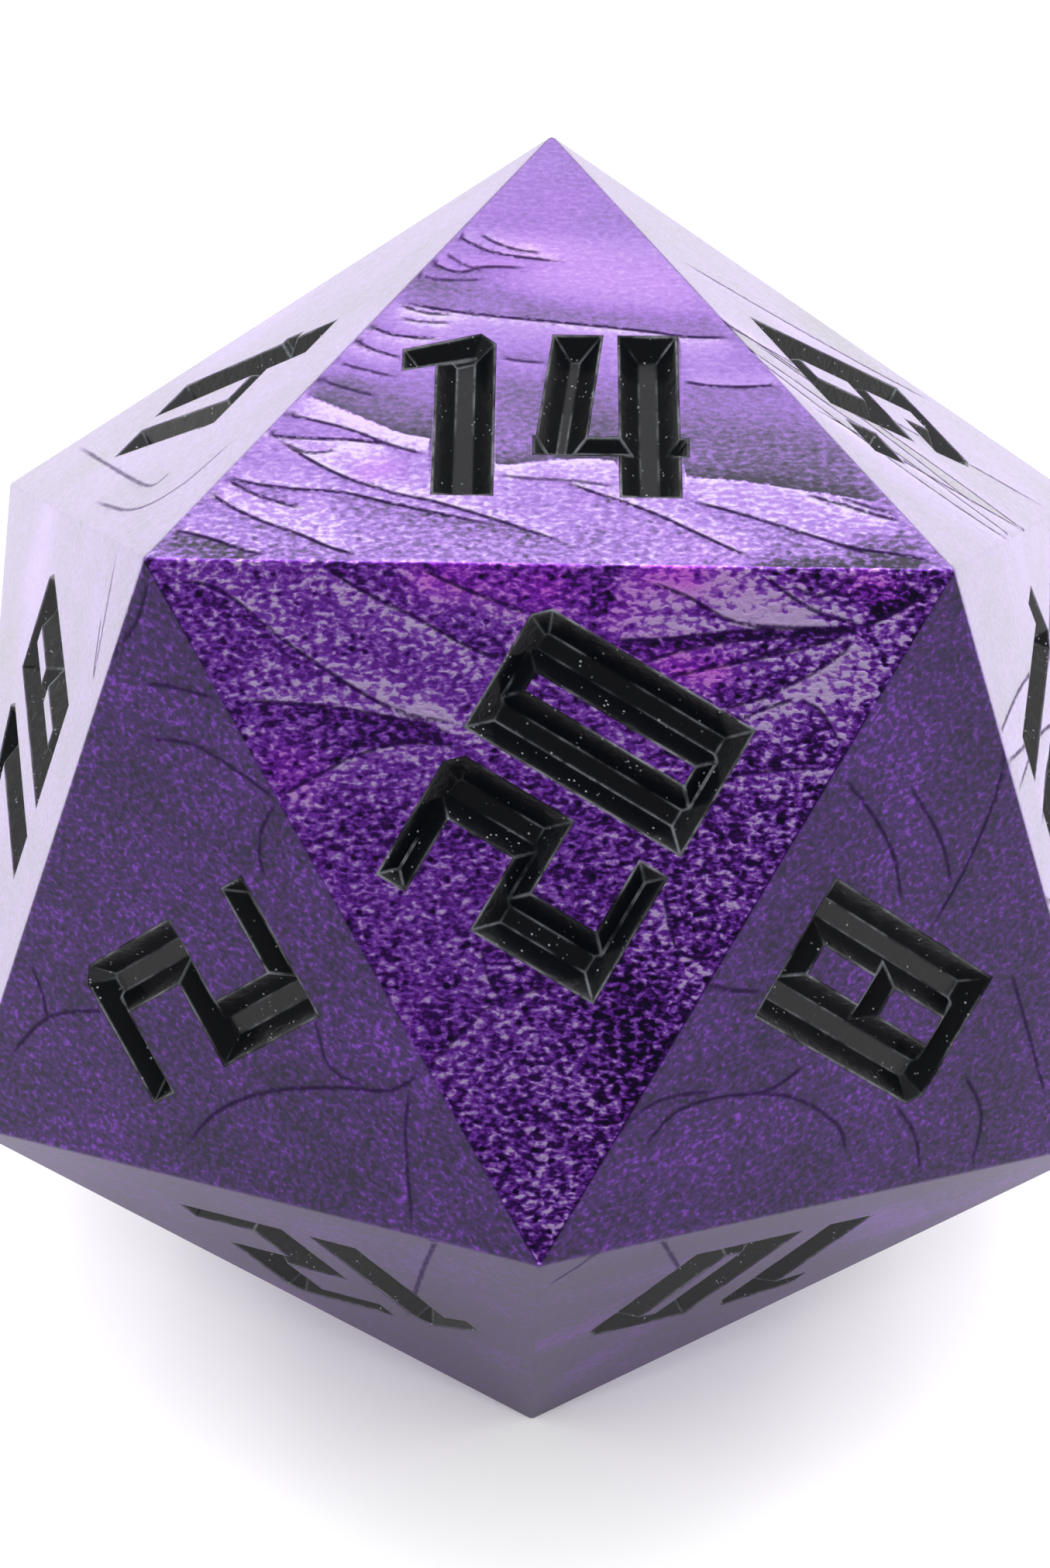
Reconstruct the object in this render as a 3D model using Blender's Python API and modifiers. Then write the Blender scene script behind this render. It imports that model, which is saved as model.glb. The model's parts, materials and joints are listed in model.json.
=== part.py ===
"""A large twenty-sided die: one cast body with chiselled numerals, and the paint that lies in them.

The row frame has +Z up and its origin on the table under the die's centre. The die rests on its
7, so its 14 is level on top and its 20 looks forwards (-Y) and up. Opposite faces add up to 21.
"""

import itertools
import math
from typing import NamedTuple

import bmesh
import bpy
from mathutils import Matrix, Vector
from mathutils.geometry import delaunay_2d_cdt

# Driving dimensions, in metres.
FACE_TO_FACE = 0.055
EDGE_BEVEL = 0.0003
GROOVE_DEPTH = 0.0010
PAINT_THICKNESS = 0.00015
PAINT_GAP = 0.0003
PAINT_DROP = 0.00005  # from the face down to the paint's rim
CLEAR_ABOVE = 0.001  # how far a cutter stands out of the face

# Tolerances.
SAME = 1e-7
WELD = 1e-6
PROBE = 1e-6
SLOPE_CHANGE = 0.05
FLAT = math.radians(0.1)
CREASE = math.radians(20)

# The regular icosahedron, from its edge.
GOLDEN = (1 + math.sqrt(5)) / 2
INRADIUS = FACE_TO_FACE / 2
EDGE = INRADIUS * 2 * math.sqrt(3) / GOLDEN**2
OUTER_RING_HEIGHT = INRADIUS
INNER_RING_HEIGHT = INRADIUS / GOLDEN**3
OUTER_RING_RADIUS = EDGE / math.sqrt(3)
INNER_RING_RADIUS = OUTER_RING_RADIUS * GOLDEN
CENTRE = Vector((0, 0, INRADIUS))


class Style(NamedTuple):
    """Sizes of one size of numeral."""

    width: float
    height: float
    stem: float  # width of an upright stroke
    bar: float  # thickness of a level stroke
    corner: float  # the cut off each top right corner


SINGLE = Style(0.204 * EDGE, 0.360 * EDGE, 0.082 * EDGE, 0.047 * EDGE, 0.021 * EDGE)
DOUBLE = Style(0.184 * EDGE, 0.314 * EDGE, 0.080 * EDGE, 0.044 * EDGE, 0.0205 * EDGE)
DIGIT_GAP = 0.027 * EDGE
GAP_AFTER_ONE = 0.048 * EDGE
DOT_SIZE = 0.073 * EDGE
DOT_GAP = 0.034 * EDGE
MARKED = (6, 9)  # a dot at the foot tells these two apart

# The shapes of the digits, as fractions of their style's sizes.
FLAG_RISE = 0.11  # of the height, on the 1
HOOK_DROP = 0.29  # of the height, on the 6
SHORT_BAR = 0.30  # of the width left open, on the 3
FOUR_WIDER = 0.4  # of a bar
FOUR_FOOT = 0.245  # of the height, up to the crossbar
FOUR_LEAN = 0.08  # of the height
FOUR_THINNER = 0.85  # of a stem or bar
FOUR_NIB = 0.25  # of a bar, past the stem
SEVEN_FOOT = 0.22  # of the width, left of the leg
SEVEN_KNEE = 0.6  # of the height


class Face(NamedTuple):
    """A face by its corners; the numeral's top points at the first. shift is in edge lengths."""

    top: str
    second: str
    third: str
    shift: tuple


def ring_corner(radius, degrees, height):
    turn = math.radians(degrees)
    return CENTRE + Vector((radius * math.cos(turn), radius * math.sin(turn), height))


def corner_places():
    """The twelve corners in four rings of three, from the top face down to the foot."""
    places = {}
    rings = (
        (OUTER_RING_RADIUS, OUTER_RING_HEIGHT, ("top_back", "top_left", "top_right"), 90),
        (INNER_RING_RADIUS, INNER_RING_HEIGHT, ("left", "front", "right"), 150),
        (INNER_RING_RADIUS, -INNER_RING_HEIGHT, ("back", "low_left", "low_right"), 90),
        (OUTER_RING_RADIUS, -OUTER_RING_HEIGHT, ("foot_left", "foot_front", "foot_right"), 150),
    )
    for radius, height, names, first in rings:
        for step, name in enumerate(names):
            places[name] = ring_corner(radius, first + 120 * step, height)
    return places


CORNERS = corner_places()
FACES = {
    20: Face("top_left", "top_right", "front", (0.008, -0.024)),
    14: Face("top_back", "top_left", "top_right", (-0.008, -0.010)),
    2: Face("low_left", "top_left", "front", (0.0, 0.015)),
    8: Face("low_right", "top_right", "front", (0.0, -0.008)),
    12: Face("foot_front", "front", "low_left", (0.008, 0.0)),
    10: Face("foot_front", "front", "low_right", (0.0, -0.020)),
    4: Face("left", "top_back", "top_left", (0.0, 0.030)),
    6: Face("right", "top_back", "top_right", (-0.010, 0.013)),
    18: Face("left", "top_left", "low_left", (-0.020, 0.0)),
    16: Face("right", "top_right", "low_right", (-0.010, -0.020)),
}


def opposite_corner(name):
    """The name of the corner on the other side of the centre."""
    wanted = 2 * CENTRE - CORNERS[name]
    return min(CORNERS, key=lambda other: (CORNERS[other] - wanted).length)


def all_faces():
    """The ten faces above and the ten opposite them."""
    faces = dict(FACES)
    for number, face in FACES.items():
        corners = [opposite_corner(name) for name in face[:3]]
        faces[21 - number] = Face(*corners, (-face.shift[0], face.shift[1]))
    return faces


def face_matrix(face):
    """From a face's own frame (X right, Y to the numeral's top, Z out) to the row frame."""
    points = [CORNERS[name] for name in face[:3]]
    middle = sum(points, Vector()) / 3
    out = (middle - CENTRE).normalized()
    up = (points[0] - middle).normalized()
    right = up.cross(out)
    turn = Matrix((right, up, out)).transposed().to_4x4()
    shift = Matrix.Translation((face.shift[0] * EDGE, face.shift[1] * EDGE, 0))
    return Matrix.Translation(middle) @ turn @ shift


# Numerals: each stroke is a convex outline, anticlockwise, in the digit's own frame.


def block(left, low, right, high, corner=0.0):
    """An upright rectangle, with its top right corner cut off if corner is set."""
    top = [(right, high)] if not corner else [(right, high - corner), (right - corner, high)]
    return [(left, low), (right, low), *top, (left, high)]


def digit_strokes(digit, style):
    """(strokes, width) of a digit."""
    wide, high, stem, bar, cut = style
    low_mid, high_mid = (high - bar) / 2, (high + bar) / 2
    top = block(0, high - bar, wide, high, cut)
    middle = block(0, low_mid, wide, high_mid)
    bottom = block(0, 0, wide, bar)
    left = block(0, 0, stem, high)
    right = block(wide - stem, 0, wide, high, cut)
    right_upper = block(wide - stem, low_mid, wide, high, cut)
    right_lower = block(wide - stem, 0, wide, high_mid)
    left_upper = block(0, low_mid, stem, high)
    left_lower = block(0, 0, stem, high_mid)
    hook = block(wide - stem, high - HOOK_DROP * high, wide, high, cut)
    short_middle = block(SHORT_BAR * wide, low_mid, wide, high_mid)
    shapes = {
        0: (left, right, top, bottom),
        2: (top, right_upper, middle, left_lower, bottom),
        3: (top, short_middle, bottom, right),
        5: (top, left_upper, middle, right_lower, bottom),
        6: (left, top, hook, middle, right_lower, bottom),
        8: (left, right, top, middle, bottom),
    }
    if digit in shapes:
        return list(shapes[digit]), wide
    if digit == 9:
        six, _ = digit_strokes(6, style)
        return [[(wide - x, high - y) for x, y in stroke] for stroke in six], wide
    return {1: one_strokes, 4: four_strokes, 7: seven_strokes}[digit](style)


def one_strokes(style):
    """A stem with a flag that rises to it from the left."""
    _, high, stem, bar, cut = style
    wide = stem + bar
    rise = FLAG_RISE * high
    stem_top = high - rise * (cut + stem) / (wide + cut)
    stroke = [(bar, 0), (wide, 0), (wide, high - cut), (wide - cut, high), (bar, stem_top)]
    flag = [
        (0, high - rise - bar),
        (wide, high - bar),
        (wide, high - cut),
        (wide - cut, high),
        (0, high - rise),
    ]
    return [stroke, flag], wide


def four_strokes(style):
    """A leaning stroke and a stem that only the crossbar joins."""
    wide, high, stem, bar, _ = style
    wide += FOUR_WIDER * bar
    foot, lean = FOUR_FOOT * high, FOUR_LEAN * high
    thin = FOUR_THINNER * stem
    right = wide - FOUR_NIB * bar
    leaning = [(0, foot), (thin, foot), (thin + lean, high), (lean, high)]
    upright = block(right - stem, 0, right, high)
    crossbar = block(0, foot, wide, foot + FOUR_THINNER * bar)
    return [leaning, upright, crossbar], wide


def seven_strokes(style):
    """A top bar and a leg that leans back under it."""
    wide, high, stem, bar, cut = style
    foot = SEVEN_FOOT * wide
    leg = [
        (foot, 0),
        (foot + stem, 0),
        (wide, SEVEN_KNEE * high),
        (wide, high - cut),
        (wide - cut, high),
        (wide - stem, high),
    ]
    return [block(0, high - bar, wide, high, cut), leg], wide


def sides(outline):
    """(a, b, c) of each side of a convex outline: a * x + b * y + c is the distance inside it."""
    planes = []
    for (x, y), (next_x, next_y) in zip(outline, outline[1:] + outline[:1]):
        length = math.hypot(next_x - x, next_y - y)
        a, b = (y - next_y) / length, (next_x - x) / length
        planes.append((a, b, -a * x - b * y))
    return planes


def height(plane, x, y):
    return plane[0] * x + plane[1] * y + plane[2]


class Carving:
    """How deep a 45 degree chisel goes when it follows the strokes, down to its floor.

    raised lifts the walls and the floor by that much, square to themselves. rim is the depth at
    which the carving starts.
    """

    def __init__(self, strokes, rim=0.0, raised=0.0):
        self.rim = (0.0, 0.0, rim)
        floor = (0.0, 0.0, GROOVE_DEPTH - raised)
        self.strokes = []
        for outline in strokes:
            walls = [(a, b, c - raised * math.sqrt(2)) for a, b, c in sides(outline)]
            self.strokes.append([*walls, floor])

    def depth(self, x, y):
        """The depth at a place, which is the rim's outside the carving."""
        deepest = max(min(height(plane, x, y) for plane in planes) for planes in self.strokes)
        return max(deepest, self.rim[2])

    def bends(self, place, across):
        """Whether the surface changes slope from one side of a place to the other."""
        (x, y), (step_x, step_y) = place, (across[0] * PROBE, across[1] * PROBE)
        sides_sum = self.depth(x + step_x, y + step_y) + self.depth(x - step_x, y - step_y)
        return abs(sides_sum - 2 * self.depth(x, y)) > SLOPE_CHANGE * PROBE

    def planes(self):
        """Each different wall, the floor and the rim's own level."""
        found = {}
        for planes in (*self.strokes, [self.rim]):
            for plane in planes:
                found.setdefault(tuple(round(value, 9) for value in plane), plane)
        return list(found.values())

    def creases(self):
        """The plan of the lines along which two planes meet on the carving's surface."""
        planes = self.planes()
        segments = []
        for first, second in itertools.combinations(planes, 2):
            segments += self.crease_runs(first, second, planes)
        return segments

    def outline(self):
        """The plan of the carving's edge."""
        planes = self.planes()
        segments = []
        for plane in planes:
            if plane is not self.rim:
                segments += self.crease_runs(plane, self.rim, planes)
        return segments

    def crease_runs(self, first, second, planes):
        """The parts of the line between two planes that lie on the carving's surface."""
        a, b, c = (one - other for one, other in zip(first, second))
        size = math.hypot(a, b)
        if size < SAME:
            return []
        x, y = -a * c / size**2, -b * c / size**2
        along_x, along_y = -b / size, a / size
        stops = []
        for plane in planes:
            rate = (first[0] - plane[0]) * along_x + (first[1] - plane[1]) * along_y
            if abs(rate) > SAME:
                stops.append((height(plane, x, y) - height(first, x, y)) / rate)
        stops.sort()
        runs = []
        for low, high in zip(stops, stops[1:]):
            middle = (low + high) / 2
            place = (x + along_x * middle, y + along_y * middle)
            on_surface = abs(self.depth(*place) - height(first, *place)) < SAME
            if high - low < SAME or not on_surface or not self.bends(place, (a / size, b / size)):
                continue
            if runs and abs(runs[-1][1] - low) < SAME:
                runs[-1][1] = high
            else:
                runs.append([low, high])
        return [
            [(x + along_x * stop, y + along_y * stop) for stop in run]
            for run in runs
        ]


def add_sheet(bm, segments, inside, level, face_up):
    """Fill the segments' plan with faces where inside is true, each corner set at its level."""
    points = [Vector(point) for segment in segments for point in segment]
    edges = [(start, start + 1) for start in range(0, len(points), 2)]
    plan, _, triangles, *_ = delaunay_2d_cdt(points, edges, [], 0, SAME, False)
    corners = {}
    for triangle in triangles:
        middle = sum((plan[index] for index in triangle), Vector((0, 0))) / 3
        if not inside(*middle):
            continue
        for index in triangle:
            if index not in corners:
                x, y = plan[index]
                corners[index] = bm.verts.new((x, y, level(x, y)))
        order = triangle if face_up else triangle[::-1]
        bm.faces.new([corners[index] for index in order])


def between(name, lower, upper, lid):
    """The solid over the lower carving, up to the upper one or else to a flat lid."""
    bm = bmesh.new()

    def inside(x, y):
        return lower.depth(x, y) > lower.rim[2] + SAME

    add_sheet(bm, lower.creases(), inside, lambda x, y: -lower.depth(x, y), False)
    if upper:
        segments = lower.outline() + upper.creases()
        add_sheet(bm, segments, inside, lambda x, y: -upper.depth(x, y), True)
    else:
        edge = [side for side in bm.edges if side.is_boundary]
        raised = bmesh.ops.extrude_edge_only(bm, edges=edge)["geom"]
        for corner in raised:
            if isinstance(corner, bmesh.types.BMVert):
                corner.co.z = lid
        add_sheet(bm, lower.outline(), inside, lambda x, y: lid, True)
    bmesh.ops.remove_doubles(bm, verts=bm.verts[:], dist=WELD)
    bmesh.ops.dissolve_limit(bm, angle_limit=FLAT, verts=bm.verts[:], edges=bm.edges[:])
    bmesh.ops.recalc_face_normals(bm, faces=bm.faces[:])
    mesh = bpy.data.meshes.new(name)
    bm.to_mesh(mesh)
    bm.free()
    return mesh


def cutter_mesh(strokes):
    """The groove that the chisel leaves, as a solid that stands out of the face."""
    return between("cutter", Carving(strokes), None, CLEAR_ABOVE)


def paint_mesh(strokes):
    """The coat of paint that lines the groove."""
    under = Carving(strokes, PAINT_DROP, PAINT_GAP)
    over = Carving(strokes, PAINT_DROP, PAINT_GAP + PAINT_THICKNESS)
    return between("paint", under, over, 0.0)


def numeral_pieces(number):
    """([(name's ending, strokes, left edge)], height) of a number, its digits centred on X."""
    style = DOUBLE if number > 9 else SINGLE
    endings = ("tens", "units") if number > 9 else ("digit",)
    pieces, left = [], 0.0
    for ending, character in zip(endings, str(number)):
        strokes, wide = digit_strokes(int(character), style)
        pieces.append((ending, strokes, left))
        gap = GAP_AFTER_ONE if character == "1" else DIGIT_GAP
        left += wide + gap
    whole = left - gap
    if number in MARKED:
        pieces.append(("dot", [block(0, 0, DOT_SIZE, DOT_SIZE)], whole + DOT_GAP))
    return [(ending, strokes, at - whole / 2) for ending, strokes, at in pieces], style.height


def material(name, colour, roughness, metallic=0.0, coat=0.0):
    made = bpy.data.materials.new(name)
    made.use_nodes = True
    shader = made.node_tree.nodes["Principled BSDF"]
    shader.inputs["Base Color"].default_value = (*colour, 1)
    shader.inputs["Roughness"].default_value = roughness
    shader.inputs["Metallic"].default_value = metallic
    shader.inputs["Coat Weight"].default_value = coat
    return made


def finished(mesh, surface):
    """The mesh with its material, smooth but for its creases."""
    mesh.materials.clear()
    mesh.materials.append(surface)
    mesh.shade_smooth()
    mesh.set_sharp_from_angle(angle=CREASE)
    return mesh


def collection(name):
    made = bpy.data.collections.new(name)
    bpy.context.scene.collection.children.link(made)
    return made


def body_object(cutters, surface):
    """The cast body: its corners' hull, with broken edges and the numerals cut in."""
    bm = bmesh.new()
    for place in CORNERS.values():
        bm.verts.new(place)
    bmesh.ops.convex_hull(bm, input=bm.verts[:])
    mesh = bpy.data.meshes.new("die_body")
    bm.to_mesh(mesh)
    bm.free()
    mesh.materials.append(surface)
    body = bpy.data.objects.new("die_body", mesh)
    bevel = body.modifiers.new("broken_edges", "BEVEL")
    bevel.width = EDGE_BEVEL
    bevel.segments = 2
    bevel.limit_method = "NONE"
    carve = body.modifiers.new("numerals", "BOOLEAN")
    carve.operation = "DIFFERENCE"
    carve.solver = "EXACT"
    carve.operand_type = "COLLECTION"
    carve.collection = cutters
    return body


def main():
    for obj in list(bpy.data.objects):
        bpy.data.objects.remove(obj)
    rubber = material("violet_pearl", (0.13, 0.045, 0.27), 0.45, 0.2, 0.6)
    paint = material("black_paint", (0.012, 0.012, 0.014), 0.35)
    parts = collection("twenty_sided_die")
    cutters = collection("numeral_cutters")
    meshes = {}
    for number, face in sorted(all_faces().items()):
        frame = face_matrix(face)
        pieces, high = numeral_pieces(number)
        for ending, strokes, left in pieces:
            key = str(strokes)
            if key not in meshes:
                meshes[key] = (cutter_mesh(strokes), finished(paint_mesh(strokes), paint))
            place = frame @ Matrix.Translation((left, -high / 2, 0))
            cutter = bpy.data.objects.new(f"cutter_{number}_{ending}", meshes[key][0])
            coat = bpy.data.objects.new(f"paint_{number}_{ending}", meshes[key][1])
            for obj, home in ((cutter, cutters), (coat, parts)):
                home.objects.link(obj)
                obj.matrix_world = place
            cutter.hide_render = True
            cutter.display_type = "WIRE"
    parts.objects.link(body_object(cutters, rubber))


main()
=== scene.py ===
"""Looks of a large twenty-sided die: a pearl resin casting with black paint in its numerals.

The row frame is in metres with +Z up. The die lies on its 7, so its 14 is level on top and its
20 looks forwards and up.
"""

import itertools
import json
import logging
import math
import random
from dataclasses import dataclass, field
from enum import Enum
from typing import Callable, Iterable, Optional, Sequence, Union

import bmesh
import bpy
import numpy as np
from mathutils import Matrix, Vector
from mathutils.geometry import delaunay_2d_cdt

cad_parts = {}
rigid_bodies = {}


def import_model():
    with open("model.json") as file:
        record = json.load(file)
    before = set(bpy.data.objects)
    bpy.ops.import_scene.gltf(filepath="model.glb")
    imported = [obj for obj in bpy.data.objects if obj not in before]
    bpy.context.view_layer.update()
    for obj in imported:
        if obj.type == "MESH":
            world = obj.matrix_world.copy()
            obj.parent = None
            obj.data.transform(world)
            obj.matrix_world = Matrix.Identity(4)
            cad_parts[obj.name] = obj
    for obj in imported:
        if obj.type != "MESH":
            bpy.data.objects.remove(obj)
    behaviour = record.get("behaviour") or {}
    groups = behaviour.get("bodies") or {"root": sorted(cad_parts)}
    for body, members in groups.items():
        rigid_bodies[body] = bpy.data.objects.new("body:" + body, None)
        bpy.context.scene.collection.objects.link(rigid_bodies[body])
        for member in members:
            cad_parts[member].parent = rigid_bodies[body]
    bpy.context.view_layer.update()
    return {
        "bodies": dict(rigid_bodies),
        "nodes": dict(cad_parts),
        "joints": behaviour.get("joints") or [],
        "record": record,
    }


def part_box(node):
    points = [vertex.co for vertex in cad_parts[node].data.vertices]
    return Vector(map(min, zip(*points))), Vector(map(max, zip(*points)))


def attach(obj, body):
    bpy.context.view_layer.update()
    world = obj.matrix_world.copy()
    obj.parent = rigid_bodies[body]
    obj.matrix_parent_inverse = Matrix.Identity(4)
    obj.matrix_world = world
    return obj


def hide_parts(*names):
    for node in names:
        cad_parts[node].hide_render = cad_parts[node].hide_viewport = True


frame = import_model()

log = logging.getLogger("die")

Point = tuple[float, float]
Plane = tuple[float, float, float]
Segment = list[Point]
Colour = tuple[float, float, float]
Sheen = tuple[float, float, float, Point, Point]
Value = Union[float, int, bpy.types.NodeSocket, "Signal", tuple]

MM = 0.001
SAME = 1e-7
WELD = 1e-6
CRACK = 5 * WELD
PROBE = 1e-6
SLOPE_CHANGE = 0.05
FLAT = math.radians(0.1)
ENCLOSED = 1
NOISE_MIDDLE = 0.5
GOLDEN = (1 + math.sqrt(5)) / 2


# Shape of the die and of its numerals


class Ring(Enum):
    """The four rings of three corners, from the top down: names and the first one's direction."""

    TOP = (("top_back", "top_left", "top_right"), 90)
    UPPER = (("left", "front", "right"), 150)
    LOWER = (("back", "low_left", "low_right"), 90)
    FOOT = (("foot_left", "foot_front", "foot_right"), 150)


@dataclass(frozen=True)
class FaceLayout:
    """How a number sits on its face.

    Attributes:
        corners: the face's corners; the numeral's top points at the first.
        shift: the numeral's place from the face's middle, in edge lengths.
    """

    corners: tuple[str, str, str]
    shift: Point


LAYOUT = {
    20: FaceLayout(("top_left", "top_right", "front"), (0.008, -0.024)),
    14: FaceLayout(("top_back", "top_left", "top_right"), (-0.008, -0.010)),
    2: FaceLayout(("low_left", "top_left", "front"), (0.0, 0.015)),
    8: FaceLayout(("low_right", "top_right", "front"), (0.0, -0.008)),
    12: FaceLayout(("foot_front", "front", "low_left"), (0.008, 0.0)),
    10: FaceLayout(("foot_front", "front", "low_right"), (0.0, -0.020)),
    4: FaceLayout(("left", "top_back", "top_left"), (0.0, 0.030)),
    6: FaceLayout(("right", "top_back", "top_right"), (-0.010, 0.013)),
    18: FaceLayout(("left", "top_left", "low_left"), (-0.020, 0.0)),
    16: FaceLayout(("right", "top_right", "low_right"), (-0.010, -0.020)),
}


@dataclass
class Icosahedron:
    """A regular icosahedron that lies on one face, its foot's middle at the origin.

    Attributes:
        face_to_face: its height, in metres.
        places: where each corner is.
        faces: how each number sits on its face.
    """

    face_to_face: float
    places: dict[str, Vector] = field(default_factory=dict)
    faces: dict[int, FaceLayout] = field(default_factory=dict)

    def __post_init__(self) -> None:
        """Place the corners and lay out all twenty faces."""
        half = self.face_to_face / 2
        self.centre = Vector((0, 0, half))
        self.edge = half * 2 * math.sqrt(3) / GOLDEN**2
        outer = self.edge / math.sqrt(3)
        sizes = (
            (outer, half),
            (outer * GOLDEN, half / GOLDEN**3),
            (outer * GOLDEN, -half / GOLDEN**3),
            (outer, -half),
        )
        for ring, (radius, height) in zip(Ring, sizes):
            names, first = ring.value
            for step, name in enumerate(names):
                turn = math.radians(first + 120 * step)
                place = (radius * math.cos(turn), radius * math.sin(turn), height)
                self.places[name] = self.centre + Vector(place)
        self.faces.update(LAYOUT)
        for number, face in LAYOUT.items():
            corners = tuple(self.opposite(name) for name in face.corners)
            self.faces[21 - number] = FaceLayout(corners, (-face.shift[0], face.shift[1]))

    def opposite(self, name: str) -> str:
        """The name of the corner on the other side of the centre."""
        wanted = 2 * self.centre - self.places[name]
        return min(self.places, key=lambda other: (self.places[other] - wanted).length)

    def frame(self, number: int) -> Matrix:
        """From a face's own frame (X right, Y to the numeral's top, Z out) to the row frame.

        Args:
            number: the number on the face.

        Returns:
            The matrix, with its origin in the face's middle.
        """
        points = [self.places[name] for name in self.faces[number].corners]
        middle = sum(points, Vector()) / 3
        out = (middle - self.centre).normalized()
        up = (points[0] - middle).normalized()
        turn = Matrix((up.cross(out), up, out)).transposed().to_4x4()
        return Matrix.Translation(middle) @ turn


@dataclass(frozen=True)
class Lettering:
    """One size of numeral, and how its digits are drawn as convex strokes.

    Attributes:
        width: width of a digit, in metres, as the other sizes are.
        height: height of a digit.
        stem: width of an upright stroke.
        bar: thickness of a level stroke.
        corner: what is cut off each top right corner.
        flag_rise: how far the 1's flag rises, as a share of the height.
        hook_drop: how far the 6's hook drops, as a share of the height.
        short_bar: where the 3's middle bar starts, as a share of the width.
        four_wider: how much wider the 4 is, as a share of the bar.
        four_foot: the height of the 4's crossbar, as a share of the height.
        four_lean: how far the 4's first stroke leans, as a share of the height.
        four_thinner: how thick the 4's thin strokes are, as a share of the others.
        four_nib: how far its crossbar goes past the stem, as a share of the bar.
        seven_foot: where the 7's leg stands, as a share of the width.
        seven_knee: the height at which its leg bends, as a share of the height.
    """

    width: float
    height: float
    stem: float
    bar: float
    corner: float
    flag_rise: float = 0.11
    hook_drop: float = 0.29
    short_bar: float = 0.30
    four_wider: float = 0.4
    four_foot: float = 0.245
    four_lean: float = 0.08
    four_thinner: float = 0.85
    four_nib: float = 0.25
    seven_foot: float = 0.22
    seven_knee: float = 0.6

    def block(
        self, left: float, low: float, right: float, high: float, cut: bool = False
    ) -> Segment:
        """An upright rectangle, with its top right corner cut off if asked."""
        top = [(right, high)]
        if cut:
            top = [(right, high - self.corner), (right - self.corner, high)]
        return [(left, low), (right, low), *top, (left, high)]

    def digit(self, digit: int) -> tuple[list[Segment], float]:
        """The strokes of a digit.

        Args:
            digit: 0 to 9.

        Returns:
            Its strokes, anticlockwise, and its width.
        """
        if digit in (1, 4, 7):
            return {1: self.one, 4: self.four, 7: self.seven}[digit]()
        wide, high, stem = self.width, self.height, self.stem
        if digit == 9:
            six, _ = self.digit(6)
            return [[(wide - x, high - y) for x, y in stroke] for stroke in six], wide
        low_mid, high_mid = (high - self.bar) / 2, (high + self.bar) / 2
        drop = high - self.hook_drop * high
        strokes = {
            "top": self.block(0, high - self.bar, wide, high, True),
            "middle": self.block(0, low_mid, wide, high_mid),
            "bottom": self.block(0, 0, wide, self.bar),
            "left": self.block(0, 0, stem, high),
            "right": self.block(wide - stem, 0, wide, high, True),
            "right_upper": self.block(wide - stem, low_mid, wide, high, True),
            "right_lower": self.block(wide - stem, 0, wide, high_mid),
            "left_upper": self.block(0, low_mid, stem, high),
            "left_lower": self.block(0, 0, stem, high_mid),
            "hook": self.block(wide - stem, drop, wide, high, True),
            "short": self.block(self.short_bar * wide, low_mid, wide, high_mid),
        }
        drawn = {
            0: ("left", "right", "top", "bottom"),
            2: ("top", "right_upper", "middle", "left_lower", "bottom"),
            3: ("top", "short", "bottom", "right"),
            5: ("top", "left_upper", "middle", "right_lower", "bottom"),
            6: ("left", "top", "hook", "middle", "right_lower", "bottom"),
            8: ("left", "right", "top", "middle", "bottom"),
        }
        return [strokes[name] for name in drawn[digit]], wide

    def one(self) -> tuple[list[Segment], float]:
        """A stem with a flag that rises to it from the left, and the width."""
        high, bar, cut = self.height, self.bar, self.corner
        wide = self.stem + bar
        rise = self.flag_rise * high
        stem_top = high - rise * (cut + self.stem) / (wide + cut)
        tip = [(wide, high - cut), (wide - cut, high)]
        stem = [(bar, 0), (wide, 0), *tip, (bar, stem_top)]
        flag = [(0, high - rise - bar), (wide, high - bar), *tip, (0, high - rise)]
        return [stem, flag], wide

    def four(self) -> tuple[list[Segment], float]:
        """A leaning stroke and a stem that only the crossbar joins, and the width."""
        high = self.height
        wide = self.width + self.four_wider * self.bar
        foot, lean = self.four_foot * high, self.four_lean * high
        thin = self.four_thinner * self.stem
        right = wide - self.four_nib * self.bar
        leaning = [(0, foot), (thin, foot), (thin + lean, high), (lean, high)]
        upright = self.block(right - self.stem, 0, right, high)
        crossbar = self.block(0, foot, wide, foot + self.four_thinner * self.bar)
        return [leaning, upright, crossbar], wide

    def seven(self) -> tuple[list[Segment], float]:
        """A top bar and a leg that leans back under it, and the width."""
        wide, high, cut = self.width, self.height, self.corner
        foot = self.seven_foot * wide
        leg = [
            (foot, 0),
            (foot + self.stem, 0),
            (wide, self.seven_knee * high),
            (wide, high - cut),
            (wide - cut, high),
            (wide - self.stem, high),
        ]
        return [self.block(0, high - self.bar, wide, high, True), leg], wide


def sides(outline: Segment) -> list[Plane]:
    """(a, b, c) of each side of a convex outline: a * x + b * y + c is the distance inside it."""
    planes = []
    for (x, y), (next_x, next_y) in zip(outline, outline[1:] + outline[:1]):
        length = math.hypot(next_x - x, next_y - y)
        a, b = (y - next_y) / length, (next_x - x) / length
        planes.append((a, b, -a * x - b * y))
    return planes


def level(plane: Plane, x: float, y: float) -> float:
    """The plane's value at a place."""
    return plane[0] * x + plane[1] * y + plane[2]


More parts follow.
